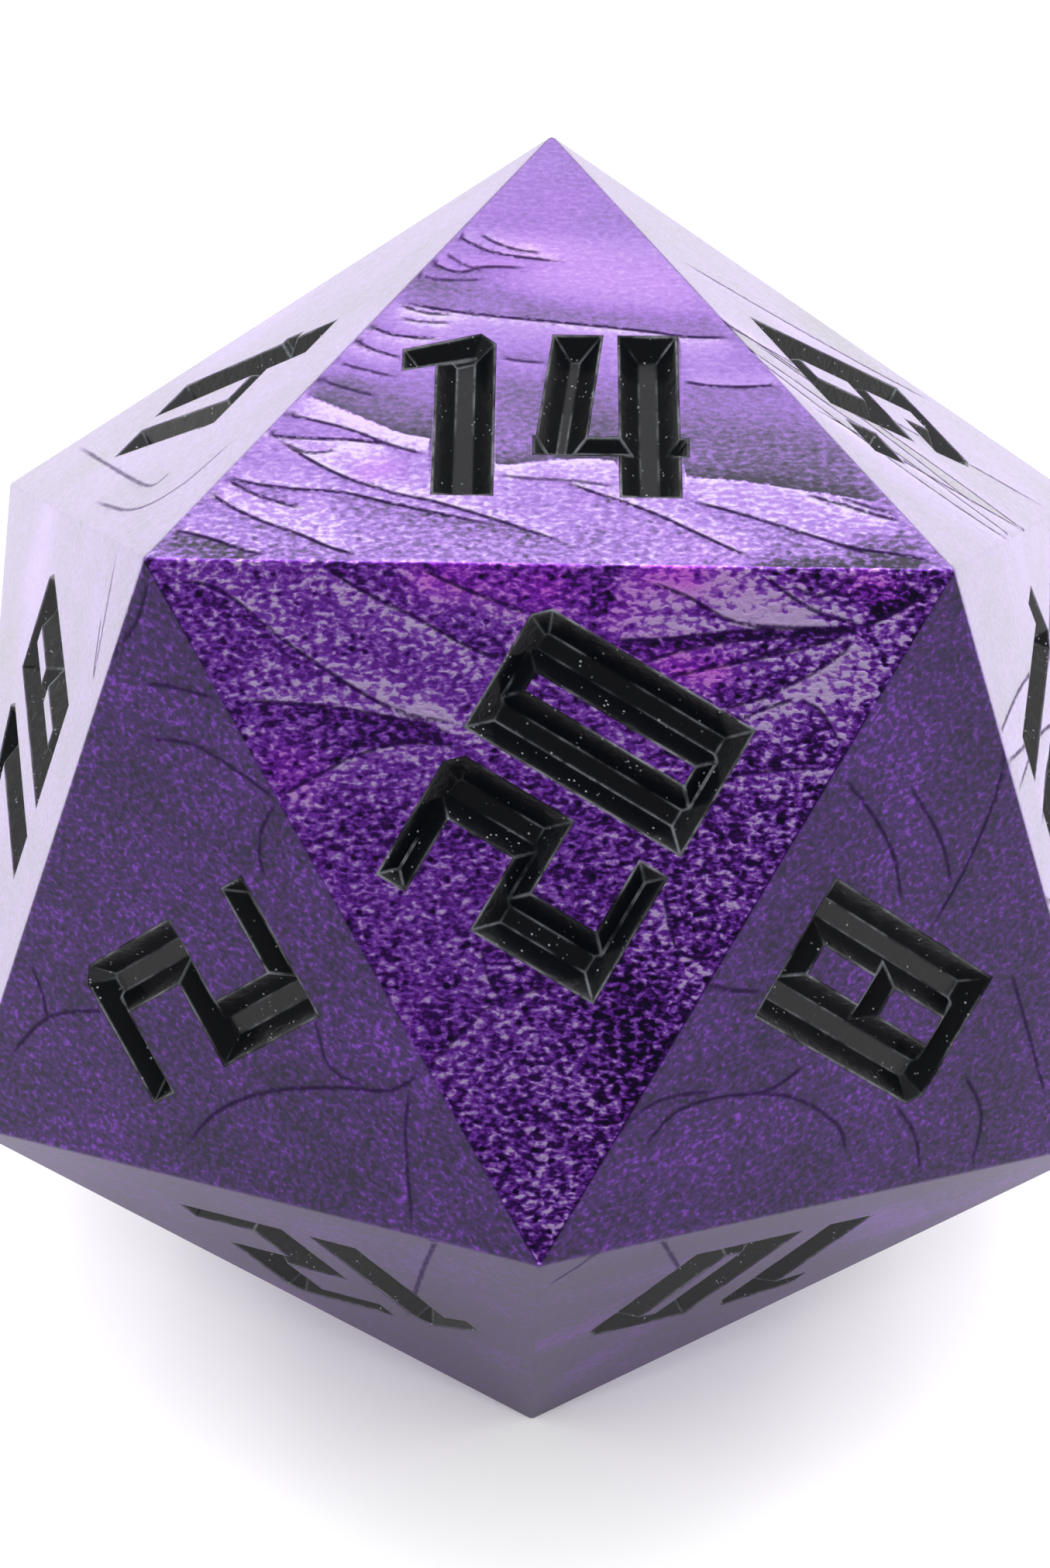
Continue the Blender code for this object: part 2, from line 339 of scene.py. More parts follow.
@dataclass
class Carving:
    """How deep a 45 degree chisel goes when it follows the strokes, down to its floor.

    Attributes:
        outlines: the strokes.
        depth: of the floor below the face, in metres, as the other sizes are.
        rim: the depth at which the carving starts.
        raised: how far its walls and floor are lifted, square to themselves.
        strokes: each stroke's walls and floor.
    """

    outlines: list[Segment]
    depth: float
    rim: float = 0.0
    raised: float = 0.0
    strokes: list[list[Plane]] = field(default_factory=list)

    def __post_init__(self) -> None:
        """Turn each stroke into its walls and floor."""
        self.rim_plane = (0.0, 0.0, self.rim)
        floor = (0.0, 0.0, self.depth - self.raised)
        lift = self.raised * math.sqrt(2)
        for outline in self.outlines:
            walls = [(a, b, c - lift) for a, b, c in sides(outline)]
            self.strokes.append([*walls, floor])
        xs, ys = zip(*itertools.chain(*self.outlines))
        self.box = (min(xs), min(ys), max(xs), max(ys))

    def at(self, x: float, y: float) -> float:
        """The depth at a place, which is the rim's outside the carving."""
        low_x, low_y, high_x, high_y = self.box
        if not (low_x <= x <= high_x and low_y <= y <= high_y):
            return self.rim
        deepest = max(min(level(plane, x, y) for plane in planes) for planes in self.strokes)
        return max(deepest, self.rim)

    def inside(self, x: float, y: float) -> bool:
        """Whether a place is within the carving's outline."""
        return self.at(x, y) > self.rim + SAME

    def bends(self, place: Point, across: Point) -> bool:
        """Whether the surface changes slope from one side of a place to the other."""
        (x, y), (step_x, step_y) = place, (across[0] * PROBE, across[1] * PROBE)
        both = self.at(x + step_x, y + step_y) + self.at(x - step_x, y - step_y)
        return abs(both - 2 * self.at(x, y)) > SLOPE_CHANGE * PROBE

    def planes(self) -> list[Plane]:
        """Each different wall, the floor and the rim's own level."""
        found = {}
        for planes in (*self.strokes, [self.rim_plane]):
            for plane in planes:
                found.setdefault(tuple(round(value, 9) for value in plane), plane)
        return list(found.values())

    def creases(self) -> list[Segment]:
        """The plan of the lines along which two planes meet on the carving's surface."""
        planes = self.planes()
        pairs = itertools.combinations(planes, 2)
        return [run for first, second in pairs for run in self.runs(first, second, planes)]

    def outline(self) -> list[Segment]:
        """The plan of the carving's edge."""
        planes = self.planes()
        walls = [plane for plane in planes if plane is not self.rim_plane]
        return [run for plane in walls for run in self.runs(plane, self.rim_plane, planes)]

    def runs(self, first: Plane, second: Plane, planes: list[Plane]) -> list[Segment]:
        """The parts of the line between two planes that lie on the carving's surface.

        Args:
            first: one plane.
            second: the other.
            planes: all the planes, any of which may end a run.

        Returns:
            Each run's two ends.
        """
        a, b, c = (one - other for one, other in zip(first, second))
        size = math.hypot(a, b)
        if size < SAME:
            return []
        x, y = -a * c / size**2, -b * c / size**2
        along_x, along_y = -b / size, a / size
        stops = []
        for plane in planes:
            rate = (first[0] - plane[0]) * along_x + (first[1] - plane[1]) * along_y
            if abs(rate) > SAME:
                stops.append((level(plane, x, y) - level(first, x, y)) / rate)
        stops.sort()
        found = []
        for low, high in zip(stops, stops[1:]):
            middle = (low + high) / 2
            place = (x + along_x * middle, y + along_y * middle)
            on_surface = abs(self.at(*place) - level(first, *place)) < SAME
            if high - low < SAME or not on_surface or not self.bends(place, (a / size, b / size)):
                continue
            if found and abs(found[-1][1] - low) < SAME:
                found[-1][1] = high
            else:
                found.append([low, high])
        return [[(x + along_x * stop, y + along_y * stop) for stop in run] for run in found]


def add_sheet(
    bm: bmesh.types.BMesh,
    segments: Sequence[Segment],
    inside: Callable[[float, float], bool],
    height: Callable[[float, float], float],
    face_up: bool,
    place: Matrix = Matrix.Identity(4),
    extra: Iterable[Point] = (),
) -> None:
    """Fill a plan with triangles where inside is true, each corner set at its height.

    Args:
        bm: the mesh that takes the triangles.
        segments: the lines of the plan.
        inside: whether a place is to be filled.
        height: the height of a place.
        face_up: whether the triangles face up or down.
        place: from the plan's frame to the mesh's.
        extra: more corners.
    """
    points = [Vector(point) for segment in segments for point in segment]
    edges = [(start, start + 1) for start in range(0, len(points), 2)]
    points += [Vector(point) for point in extra]
    plan, _, triangles, *_ = delaunay_2d_cdt(points, edges, [], ENCLOSED, SAME, False)
    corners = {}
    for triangle in triangles:
        middle = sum((plan[index] for index in triangle), Vector((0, 0))) / 3
        if not inside(*middle):
            continue
        for index in triangle:
            if index not in corners:
                x, y = plan[index]
                corners[index] = bm.verts.new(place @ Vector((x, y, height(x, y))))
        order = triangle if face_up else triangle[::-1]
        bm.faces.new([corners[index] for index in order])


def add_object(
    name: str, bm: bmesh.types.BMesh, finish: bpy.types.Material
) -> bpy.types.Object:
    """Make an object of a mesh that is done, and put it in the scene.

    Args:
        name: the name of both.
        bm: the mesh, which is freed.
        finish: its material.

    Returns:
        The object.
    """
    mesh = bpy.data.meshes.new(name)
    bm.to_mesh(mesh)
    bm.free()
    mesh.materials.append(finish)
    made = bpy.data.objects.new(name, mesh)
    bpy.context.scene.collection.objects.link(made)
    return made


@dataclass(frozen=True)
class Character:
    """One digit or mark of a numeral, in its face's own frame.

    Attributes:
        node: the name of the paint's node in the frame.
        number: the number it belongs to.
        strokes: its outlines.
    """

    node: str
    number: int
    strokes: list[Segment]


@dataclass
class Numerals:
    """Lays out all the characters on the die.

    Attributes:
        shape: the die.
        single: a single digit's width, height, stem, bar and corner, in edge lengths.
        double: the same for each digit of two.
        digit_gap: between two digits, in edge lengths, as the other gaps are.
        gap_after_one: between a 1 and the next digit.
        dot_size: the side of the square mark.
        dot_gap: between a digit and its mark.
        marked: the numbers that have a mark.
    """

    shape: Icosahedron
    single: tuple[float, ...] = (0.204, 0.360, 0.082, 0.047, 0.021)
    double: tuple[float, ...] = (0.184, 0.314, 0.080, 0.044, 0.0205)
    digit_gap: float = 0.027
    gap_after_one: float = 0.048
    dot_size: float = 0.073
    dot_gap: float = 0.034
    marked: tuple[int, ...] = (6, 9)

    def characters(self, number: int) -> list[Character]:
        """The characters of a number.

        Args:
            number: 1 to 20.

        Returns:
            Them, from left to right, with the mark last.
        """
        edge = self.shape.edge
        sizes = self.double if number > 9 else self.single
        letters = Lettering(*(size * edge for size in sizes))
        endings = ("tens", "units") if number > 9 else ("digit",)
        drawn, left, gap = [], 0.0, 0.0
        for ending, character in zip(endings, str(number)):
            left += gap
            strokes, wide = letters.digit(int(character))
            drawn.append((ending, strokes, left))
            gap = (self.gap_after_one if character == "1" else self.digit_gap) * edge
            left += wide
        if number in self.marked:
            dot = letters.block(0, 0, self.dot_size * edge, self.dot_size * edge)
            at = left + self.dot_gap * edge
            drawn.append(("dot", [dot], at))
        shift_x, shift_y = self.shape.faces[number].shift
        offset_x = shift_x * edge - left / 2
        offset_y = shift_y * edge - letters.height / 2
        return [
            Character(
                f"paint_{number}_{ending}",
                number,
                [[(x + at + offset_x, y + offset_y) for x, y in stroke] for stroke in strokes],
            )
            for ending, strokes, at in drawn
        ]


# Shader maths


@dataclass(frozen=True)
class Signal:
    """A number that varies over a surface: a socket with arithmetic.

    Attributes:
        graph: the tree it belongs to.
        socket: the output that gives it.
    """

    graph: "Graph"
    socket: bpy.types.NodeSocket

    def math(self, operation: str, *others: Value, clamp: bool = False) -> "Signal":
        """The result of a Math node on this and the others."""
        settings = {"operation": operation, "use_clamp": clamp}
        return self.graph.add("ShaderNodeMath", settings, [self, *others])

    def __add__(self, other: Value) -> "Signal":
        """This plus other."""
        return self.math("ADD", other)

    __radd__ = __add__

    def __mul__(self, other: Value) -> "Signal":
        """This times other."""
        return self.math("MULTIPLY", other)

    __rmul__ = __mul__

    def __sub__(self, other: Value) -> "Signal":
        """This less other."""
        return self.math("SUBTRACT", other)

    def __rsub__(self, other: Value) -> "Signal":
        """The other less this."""
        return self.graph.add("ShaderNodeMath", {"operation": "SUBTRACT"}, [other, self])

    def clamped(self) -> "Signal":
        """This kept from 0 to 1."""
        return self.math("ADD", 0.0, clamp=True)

    def smooth(self, low: float, high: float) -> "Signal":
        """0 below low, 1 above high and a smooth step between; high may be the lower."""
        settings = {"interpolation_type": "SMOOTHSTEP"}
        if low > high:
            return 1 - self.smooth(high, low)
        return self.graph.add(
            "ShaderNodeMapRange", settings, {"Value": self, "From Min": low, "From Max": high}
        )


class Graph:
    """The node tree of a material or of the world."""

    def __init__(self, owner: Union[bpy.types.Material, bpy.types.World]) -> None:
        """Empty the owner's tree."""
        owner.use_nodes = True
        self.owner = owner
        self.tree = owner.node_tree
        self.tree.nodes.clear()

    @classmethod
    def of_material(cls, name: str) -> "Graph":
        """The graph of a new material."""
        return cls(bpy.data.materials.new(name))

    @classmethod
    def of_world(cls, name: str) -> "Graph":
        """The graph of a new world, which the scene takes."""
        bpy.context.scene.world = bpy.data.worlds.new(name)
        return cls(bpy.context.scene.world)

    def node(
        self,
        kind: str,
        settings: Optional[dict] = None,
        inputs: Union[dict, Sequence, None] = None,
    ) -> bpy.types.Node:
        """Add a node.

        Args:
            kind: its type.
            settings: its properties, or a ramp's stops under "stops".
            inputs: the values or links of its sockets, by name or in order.

        Returns:
            The node.
        """
        node = self.tree.nodes.new(kind)
        for name, value in (settings or {}).items():
            if name == "stops":
                self.set_stops(node.color_ramp, value)
            else:
                setattr(node, name, value)
        pairs = inputs.items() if isinstance(inputs, dict) else enumerate(inputs or ())
        for key, value in pairs:
            self.feed(self.find(node.inputs, key), value)
        return node

    def add(
        self,
        kind: str,
        settings: Optional[dict] = None,
        inputs: Union[dict, Sequence, None] = None,
        output: Union[int, str] = 0,
    ) -> Signal:
        """An output, by name or number, of a new node."""
        return Signal(self, self.find(self.node(kind, settings, inputs).outputs, output))

    @staticmethod
    def find(sockets: bpy.types.bpy_prop_collection, key: Union[int, str]) -> bpy.types.NodeSocket:
        """The enabled socket of that name or number."""
        if isinstance(key, int):
            return sockets[key]
        return next(socket for socket in sockets if socket.name == key and socket.enabled)

    @staticmethod
    def set_stops(ramp: bpy.types.ColorRamp, stops: Sequence[tuple[float, Colour]]) -> None:
        """Give a colour ramp its stops."""
        first, *others = stops
        while len(ramp.elements) > 1:
            ramp.elements.remove(ramp.elements[-1])
        ramp.elements[0].position, ramp.elements[0].color = first[0], (*first[1], 1)
        for place, colour in others:
            ramp.elements.new(place).color = (*colour, 1)

    def feed(self, socket: bpy.types.NodeSocket, value: Value) -> None:
        """Link a signal to a socket, or set the socket's own value."""
        if isinstance(value, Signal):
            self.tree.links.new(value.socket, socket)
        elif isinstance(value, tuple) and len(value) == 3 and socket.type == "RGBA":
            socket.default_value = (*value, 1)
        else:
            socket.default_value = value

    def attribute(self, name: str) -> Signal:
        """A number that the mesh holds for each corner."""
        return self.add("ShaderNodeAttribute", {"attribute_name": name}, None, "Fac")

    def place(self) -> Signal:
        """The place on the object, in metres."""
        return self.add("ShaderNodeTexCoord", None, None, "Object")

    def vector(self, operation: str, *values: Value, output: str = "Vector") -> Signal:
        """The result of a Vector Math node."""
        return self.add("ShaderNodeVectorMath", {"operation": operation}, values, output)

    def noise(
        self,
        at: Value,
        scale: float,
        detail: float = 2.0,
        rough: float = 0.5,
        bend: float = 0.0,
    ) -> Signal:
        """Cloudy noise.

        Args:
            at: where it is read.
            scale: clouds for each unit of length.
            detail: how many finer layers it has.
            rough: how strong they are.
            bend: how much it is distorted.

        Returns:
            The noise, about 0.5.
        """
        names = ("Vector", "Scale", "Detail", "Roughness", "Distortion")
        inputs = dict(zip(names, (at, scale, detail, rough, bend)))
        return self.add("ShaderNodeTexNoise", None, inputs, "Fac")

    def cells(self, at: Value, scale: float) -> Signal:
        """How far each place is from the middle of its cell."""
        return self.add("ShaderNodeTexVoronoi", None, {"Vector": at, "Scale": scale}, "Distance")

    def ramp(self, factor: Value, stops: Sequence[tuple[float, Colour]]) -> Signal:
        """A colour from a number."""
        return self.add("ShaderNodeValToRGB", {"stops": stops}, [factor], "Color")

    def mix(self, factor: Value, first: Value, second: Value, blend: str = "MIX") -> Signal:
        """A mix of two colours."""
        settings = {"data_type": "RGBA", "blend_type": blend}
        inputs = {"Factor": factor, "A": first, "B": second}
        return self.add("ShaderNodeMix", settings, inputs, "Result")

    def bump(
        self, height: Value, distance: float, strength: float = 1.0, over: Optional[Signal] = None
    ) -> Signal:
        """A normal that a height tilts.

        Args:
            height: the height, in units of distance.
            distance: in metres.
            strength: how much of the tilt shows.
            over: the normal that it is laid over.

        Returns:
            The normal.
        """
        inputs = {"Strength": strength, "Distance": distance, "Height": height}
        if over:
            inputs["Normal"] = over
        return self.add("ShaderNodeBump", None, inputs, "Normal")

    def surface(self, inputs: dict) -> bpy.types.Material:
        """End the tree with a Principled shader.

        Args:
            inputs: the values or links of its sockets.

        Returns:
            The material.
        """
        shader = self.add("ShaderNodeBsdfPrincipled", None, inputs, "BSDF")
        self.node("ShaderNodeOutputMaterial", None, {"Surface": shader})
        return self.owner


# Finishes


@dataclass(frozen=True)
class PearlResin:
    """Clear violet resin over settled mica: pebbled pearl with dark folds.

    The mesh holds how much pearl shows, with painted light and shade for each face, beside its
    folds and in its sheens ("shine"), how strong its pebbles are ("grain"), how pink it
    is ("rose"), how much a painted reflection of the white walls veils it ("haze") and how
    dark the line of a fold is ("line").

    Attributes:
        tones: the colours of the pearl, from none showing to all of it.
        rose: what its colour is multiplied by where it is pink.
        grey: the pale colour of the painted reflection of the white walls, mixed in where the veil
            is.
        line: the colour of a fold's line.
        pebbles: the pebbles in a metre.
        pit_share: the pits for each pebble.
        glints: the glints in a metre.
        clouds: the clouds in a metre.
        flow: the streaks in a metre along each axis.
        stretch: how the pebbles are stretched along each axis.
        relief: the height of the pebbles, in metres.
        pit_depth: how deep the pits are beside the pebbles.
        level: the height of the pebbles at which they leave the tone as it is.
        cloud_tone: how much the clouds change the tone.
        streak_tone: how much the streaks do.
        glint_tone: how much the glints do.
        cloud_pink: the least cloud that is pink, and how much pinker the thicker ones are.
        line_dark: how much of its colour a fold's line has at most.
        coat: how much clear resin lies over the pearl, and how much more where the painted veil
            is.
    """

    tones: tuple[tuple[float, Colour], ...] = (
        (0.0, (0.008, 0.001, 0.028)),
        (0.25, (0.045, 0.004, 0.125)),
        (0.50, (0.195, 0.030, 0.480)),
        (0.75, (0.340, 0.120, 0.640)),
        (1.0, (0.680, 0.500, 0.880)),
    )
    rose: Colour = (1.10, 0.34, 1.06)
    grey: Colour = (0.46, 0.43, 0.50)
    line: Colour = (0.020, 0.002, 0.055)
    pebbles: float = 4000.0
    pit_share: float = 0.42
    glints: float = 7000.0
    clouds: float = 130.0
    flow: tuple[float, float, float] = (45.0, 330.0, 330.0)
    stretch: tuple[float, float, float] = (0.62, 1.0, 1.0)
    relief: float = 0.03 * MM
    pit_depth: float = 0.4
    level: float = 0.34
    cloud_tone: float = 0.22
    streak_tone: float = 0.25
    glint_tone: float = 0.2
    cloud_pink: tuple[float, float] = (0.56, 1.4)
    line_dark: float = 0.92
    coat: tuple[float, float] = (0.32, 1.4)

    def material(self) -> bpy.types.Material:
        """The material."""
        graph = Graph.of_material("pearl_resin")
        place = graph.place()
        grain = graph.attribute("grain")
        streak = graph.noise(graph.vector("MULTIPLY", place, self.flow), 1.0, 3.0, 0.6, 0.5)
        cloud = graph.noise(place, self.clouds)
        squeezed = graph.vector("MULTIPLY", place, self.stretch)
        fleck = graph.noise(squeezed, self.pebbles, 2.0, 0.5, 0.3).smooth(0.32, 0.80)
        pit = graph.cells(place, self.pebbles * self.pit_share).smooth(0.34, 0.10)
        glint = graph.noise(place, self.glints, 1.0)
        relief = fleck - pit * self.pit_depth
        # The pearl's level carries painted light and shade for each face, beside its folds and in
        # its sheens, over the pearl's own pattern.
        tone = (
            graph.attribute("shine")
            + (cloud - NOISE_MIDDLE) * self.cloud_tone
            + (streak - NOISE_MIDDLE) * self.streak_tone
            + (relief - self.level) * grain
            + (glint - NOISE_MIDDLE) * self.glint_tone
        ).clamped()
        colour = graph.ramp(tone, self.tones)
        least, rise = self.cloud_pink
        pink = (graph.attribute("rose") + (cloud - least) * rise).clamped()
        colour = graph.mix(pink, colour, graph.mix(1.0, colour, self.rose, "MULTIPLY"))
        haze, line = graph.attribute("haze"), graph.attribute("line")
        thin, more = self.coat
        # Painted reflection: where the veil is, the colour is mixed towards pale lavender, as if
        # the face mirrored the white walls.
        colour = graph.mix(haze * tone, colour, self.grey)
        colour = graph.mix(line * self.line_dark, colour, self.line)
        return graph.surface(
            {
                "Base Color": colour,
                "Metallic": 0.85,
                "Roughness": 0.40 + line * 0.4,
                "Normal": graph.bump(relief * grain + streak * 0.5, self.relief, 0.5),
                "Coat Weight": (thin + haze * more).clamped() * (1.0 - line),
                "Coat Roughness": 0.2,
                "Coat IOR": 1.5,
            }
        )


@dataclass(frozen=True)
class BlackPaint:
    """Thick black paint that has dried in the numerals with a fine wrinkled skin.

    Attributes:
        black: its colour.
        dust: the colour of the lint that sits on it, and of the highlights painted along its
            ridges and inner corners.
        wrinkles: the wrinkles in a metre.
        lump_share: the lumps for each wrinkle.
        lint_share: the specks of lint for each wrinkle.
        lint_patches: the patches of lint in a metre.
        lint_pale: how pale the lint is.
        ridge_bend: how much the surface has to turn for a ridge to start and to be whole.
        ridge_breaks: the breaks of a ridge in a metre.
        ridge_pale: how strong the painted highlight along the ridges and inner corners is.
        relief: the height of the wrinkles, in metres.
        soft_edge: how round its inner corners are, in metres.
        gloss: how strongly it mirrors.
    """

    black: Colour = (0.003, 0.0034, 0.005)
    dust: Colour = (0.24, 0.25, 0.28)
    wrinkles: float = 1500.0
    lump_share: float = 0.3
    lint_share: float = 1.8
    lint_patches: float = 900.0
    lint_pale: float = 0.8
    ridge_bend: tuple[float, float] = (0.12, 0.36)
    ridge_breaks: float = 420.0
    ridge_pale: float = 0.85
    relief: float = 0.04 * MM
    soft_edge: float = 0.18 * MM
    gloss: float = 0.25

    def material(self) -> bpy.types.Material:
        """The material."""
        graph = Graph.of_material("black_paint")
        place = graph.place()
        skin = graph.noise(place, self.wrinkles, 4.0, 0.6, 0.6)
        lump = graph.noise(place, self.wrinkles * self.lump_share, 2.0)
        grit = graph.cells(place, self.wrinkles * self.lint_share)
        patch = graph.noise(place, self.lint_patches).smooth(0.50, 0.60)
        lint = grit.smooth(0.20, 0.08) * patch
        round_edge = graph.add("ShaderNodeBevel", {"samples": 4}, {"Radius": self.soft_edge})
        flat = graph.add("ShaderNodeNewGeometry", output="True Normal")
        bend = graph.vector("DISTANCE", round_edge, flat, output="Value")
        broken = graph.noise(place, self.ridge_breaks, 1.0).smooth(0.34, 0.62)
        ridge = bend.smooth(*self.ridge_bend) * broken
        # Painted highlight: pale lines along the paint's ridges and inner corners, where its
        # rounded edges catch the light.
        painted_ridge_highlight = ridge * skin.smooth(0.25, 0.6)
        pale = (lint * self.lint_pale + painted_ridge_highlight * self.ridge_pale).clamped()
        return graph.surface(
            {
                "Base Color": graph.mix(pale, self.black, self.dust),
                "Roughness": 0.12 + skin * 0.16 + ridge * 0.3,
                "Normal": graph.bump(skin + lump, self.relief, 0.6, round_edge),
                "Specular IOR Level": self.gloss,
            }
        )


@dataclass(frozen=True)
class TableTop:
    """A matt white table.

    Attributes:
        white: its colour.
        dull: its colour where its weave is duller.
        weave: the threads in a metre.
        dullness: how much of the duller colour shows at most.
    """

    white: Colour = (0.86, 0.855, 0.86)
    dull: Colour = (0.82, 0.82, 0.83)
    weave: float = 900.0
    dullness: float = 0.2

    def material(self) -> bpy.types.Material:
        """The material."""
        graph = Graph.of_material("white_table")
        duller = graph.noise(graph.place(), self.weave, 3.0) * self.dullness
        colour = graph.mix(duller, self.white, self.dull)
        return graph.surface({"Base Color": colour, "Roughness": 0.8})


# Pieces

# The folds in the pearl: how bright each one's right side is, then x and y of each place that it
# goes through, in thousandths of an edge length in its face's frame.
CREASES: dict[int, tuple[tuple[float, ...], ...]] = {
    14: (
        (0.55, -217, 212, -115, 188, 15, 171, 124, 156, 181, 146, 253, 145),
        (-0.35, -132, 355, -104, 331, -69, 313, 22, 296),
        (-0.3, -97, 356, -76, 337, -45, 322, -13, 317),
        (-0.3, -168, 302, -145, 281, -120, 273, -89, 285, -29, 284),
        (-0.2, -184, 272, -161, 259, -127, 256, -89, 258),
        (-0.2, -145, 314, -121, 292, -89, 274),
        (0.3, -201, 202, -166, 187, -132, 184),
        (0.25, -200, 175, -166, 168, -132, 168),
        (0.4, -245, 164, -216, 144, -182, 137, -148, 135),
        (0.35, -263, 135, -235, 112, -194, 94),
        (0.25, -66, 99, -39, 92, -5, 89),
        (0.25, -293, 94, -264, 78, -198, 55),
        (0.2, -313, 55, -269, 35, -225, 18),
        (
            0.75, -333, 28, -278, -1, -223, -34, -187, -53, -151, -63, -105, -90, -66, -108, -9,
            -103,
        ),
        (
            0.75, -61, -108, 45, -95, 94, -102, 172, -127, 232, -131, 306, -146, 366, -157, 425,
            -173,
        ),
        (-0.35, -350, -16, -309, -28, -258, -46, -200, -76, -154, -93),
        (0.4, -368, -48, -350, -61, -293, -65, -250, -67, -200, -76),
        (0.3, -342, -74, -306, -92, -274, -86),
        (
            -0.5, -353, -61, -312, -99, -261, -135, -197, -164, -148, -178, -92, -200, -26, -229,
            43, -264,
        ),
        (-0.4, -415, -138, -376, -150, -323, -159, -260, -165, -197, -184, -130, -203, -61, -222),
        (0.35, -415, -139, -375, -168, -339, -185, -311, -195),
        (-0.5, -431, -164, -405, -189, -361, -218, -311, -242, -269, -266, -231, -278),
        (-0.4, -470, -236, -421, -252, -375, -273, -354, -280),
        (-0.35, 172, 57, 207, 49, 257, 48, 304, 54),
        (-0.2, -68, -128, -23, -134, 29, -137, 86, -147),
        (-0.45, 11, -137, 63, -161, 126, -192, 174, -223, 213, -249, 257, -278),
        (-0.45, 171, -169, 230, -190, 303, -221, 375, -251, 448, -266, 477, -276),
        (0.35, 321, -156, 365, -173, 409, -192, 441, -203),
        (0.3, 366, -161, 402, -178, 435, -191),
        (0.3, 318, -227, 357, -246, 393, -263),
    ),
    20: (
        (-0.4, -13, 542, 14, 480, 1, 374, -5, 257, 3, 194, 26, 133),
        (-0.6, -100, 404, -49, 306, -24, 246, 1, 178, 7, 136),
        (0.35, -172, 284, -127, 260, -72, 225, -26, 177, 6, 106),
        (0.45, 106, 399, 103, 329, 108, 257, 111, 183, 118, 127),
        (0.45, 163, 297, 168, 233, 179, 164, 185, 134),
        (-0.65, 202, 42, 243, -24, 293, -91, 336, -156, 385, -233),
        (0.5, 386, -232, 369, -174, 369, -129, 374, -88),
        (-0.65, 293, 36, 303, -26, 305, -85, 331, -144, 364, -200),
        (0.5, 194, -8, 244, -53, 291, -108, 339, -177, 382, -234),
        (0.5, 201, -48, 246, -97, 304, -160, 370, -226),
        (0.65, 192, -114, 238, -162, 291, -198, 332, -219, 367, -228),
        (0.4, 195, -150, 226, -170, 264, -203),
        (0.6, 386, -232, 428, -260, 480, -285),
        (-0.4, 264, -203, 266, -235, 252, -263, 245, -282),
        (0.45, 136, -178, 169, -218, 212, -283),
        (0.4, -11, -175, -52, -207, -78, -238, -72, -276),
        (0.3, -357, -47, -297, -60, -250, -77, -163, -153),
        (0.25, -198, -24, -227, -52, -243, -81),
        (0.3, 437, -187, 404, -176, 385, -157, 380, -123),
    ),
    2: (
        (0.15, 372, -177, 349, -219, 304, -282),
        (0.15, 314, -128, 274, -202, 206, -256, 159, -285),
        (0.15, 158, -284, 139, -239, 110, -210, 84, -200),
        (0.2, -173, 193, -149, 91, -157, -16, -192, -131, -224, -212, -219, -282),
        (0.15, -234, -240, -276, -200, -325, -167, -393, -122),
        (0.15, 48, 416, 68, 303, 45, 210, 11, 149),
        (0.15, 142, 276, 98, 286, 68, 303),
        (0.12, 417, -109, 437, -213, 474, -277),
        (0.12, -29, -144, -100, -152, -162, -135, -211, -177),
    ),
    8: (
        (0.2, -211, -274, -192, -189, -163, -116, -118, -57),
        (0.2, 314, -237, 256, -222, 214, -171, 173, -94, 115, -54),
        (0.15, 192, -134, 166, -44, 169, 52, 196, 99),
        (0.15, 108, 129, 131, 199, 170, 247),
        (0.15, 96, -314, 89, -256, 69, -196),
        (0.15, -250, -161, -215, -58, -173, 8),
        (0.15, 28, 222, 61, 295, 132, 337),
        (0.15, -120, 198, -70, 284, -2, 398),
        (0.2, -461, -223, -414, -106, -335, -24, -221, 10, -94, 17),
        (0.12, 351, -300, 260, -266, 201, -171),
    ),
    12: (
        (0.15, -365, -323, -225, -134, -29, 143),
    ),
    10: (
        (0.15, 385, -380, 278, -252, 87, -21),
        (0.12, 426, -189, 414, -290, 436, -403),
    ),
    4: (
        (0.15, -230, -81, -253, -50, -141, 141, 33, 424),
        (0.12, -228, 108, -318, -79, -300, -169, -208, -202),
    ),
    18: (
        (0.15, 327, -173, 269, -231, 414, -152),
    ),
}
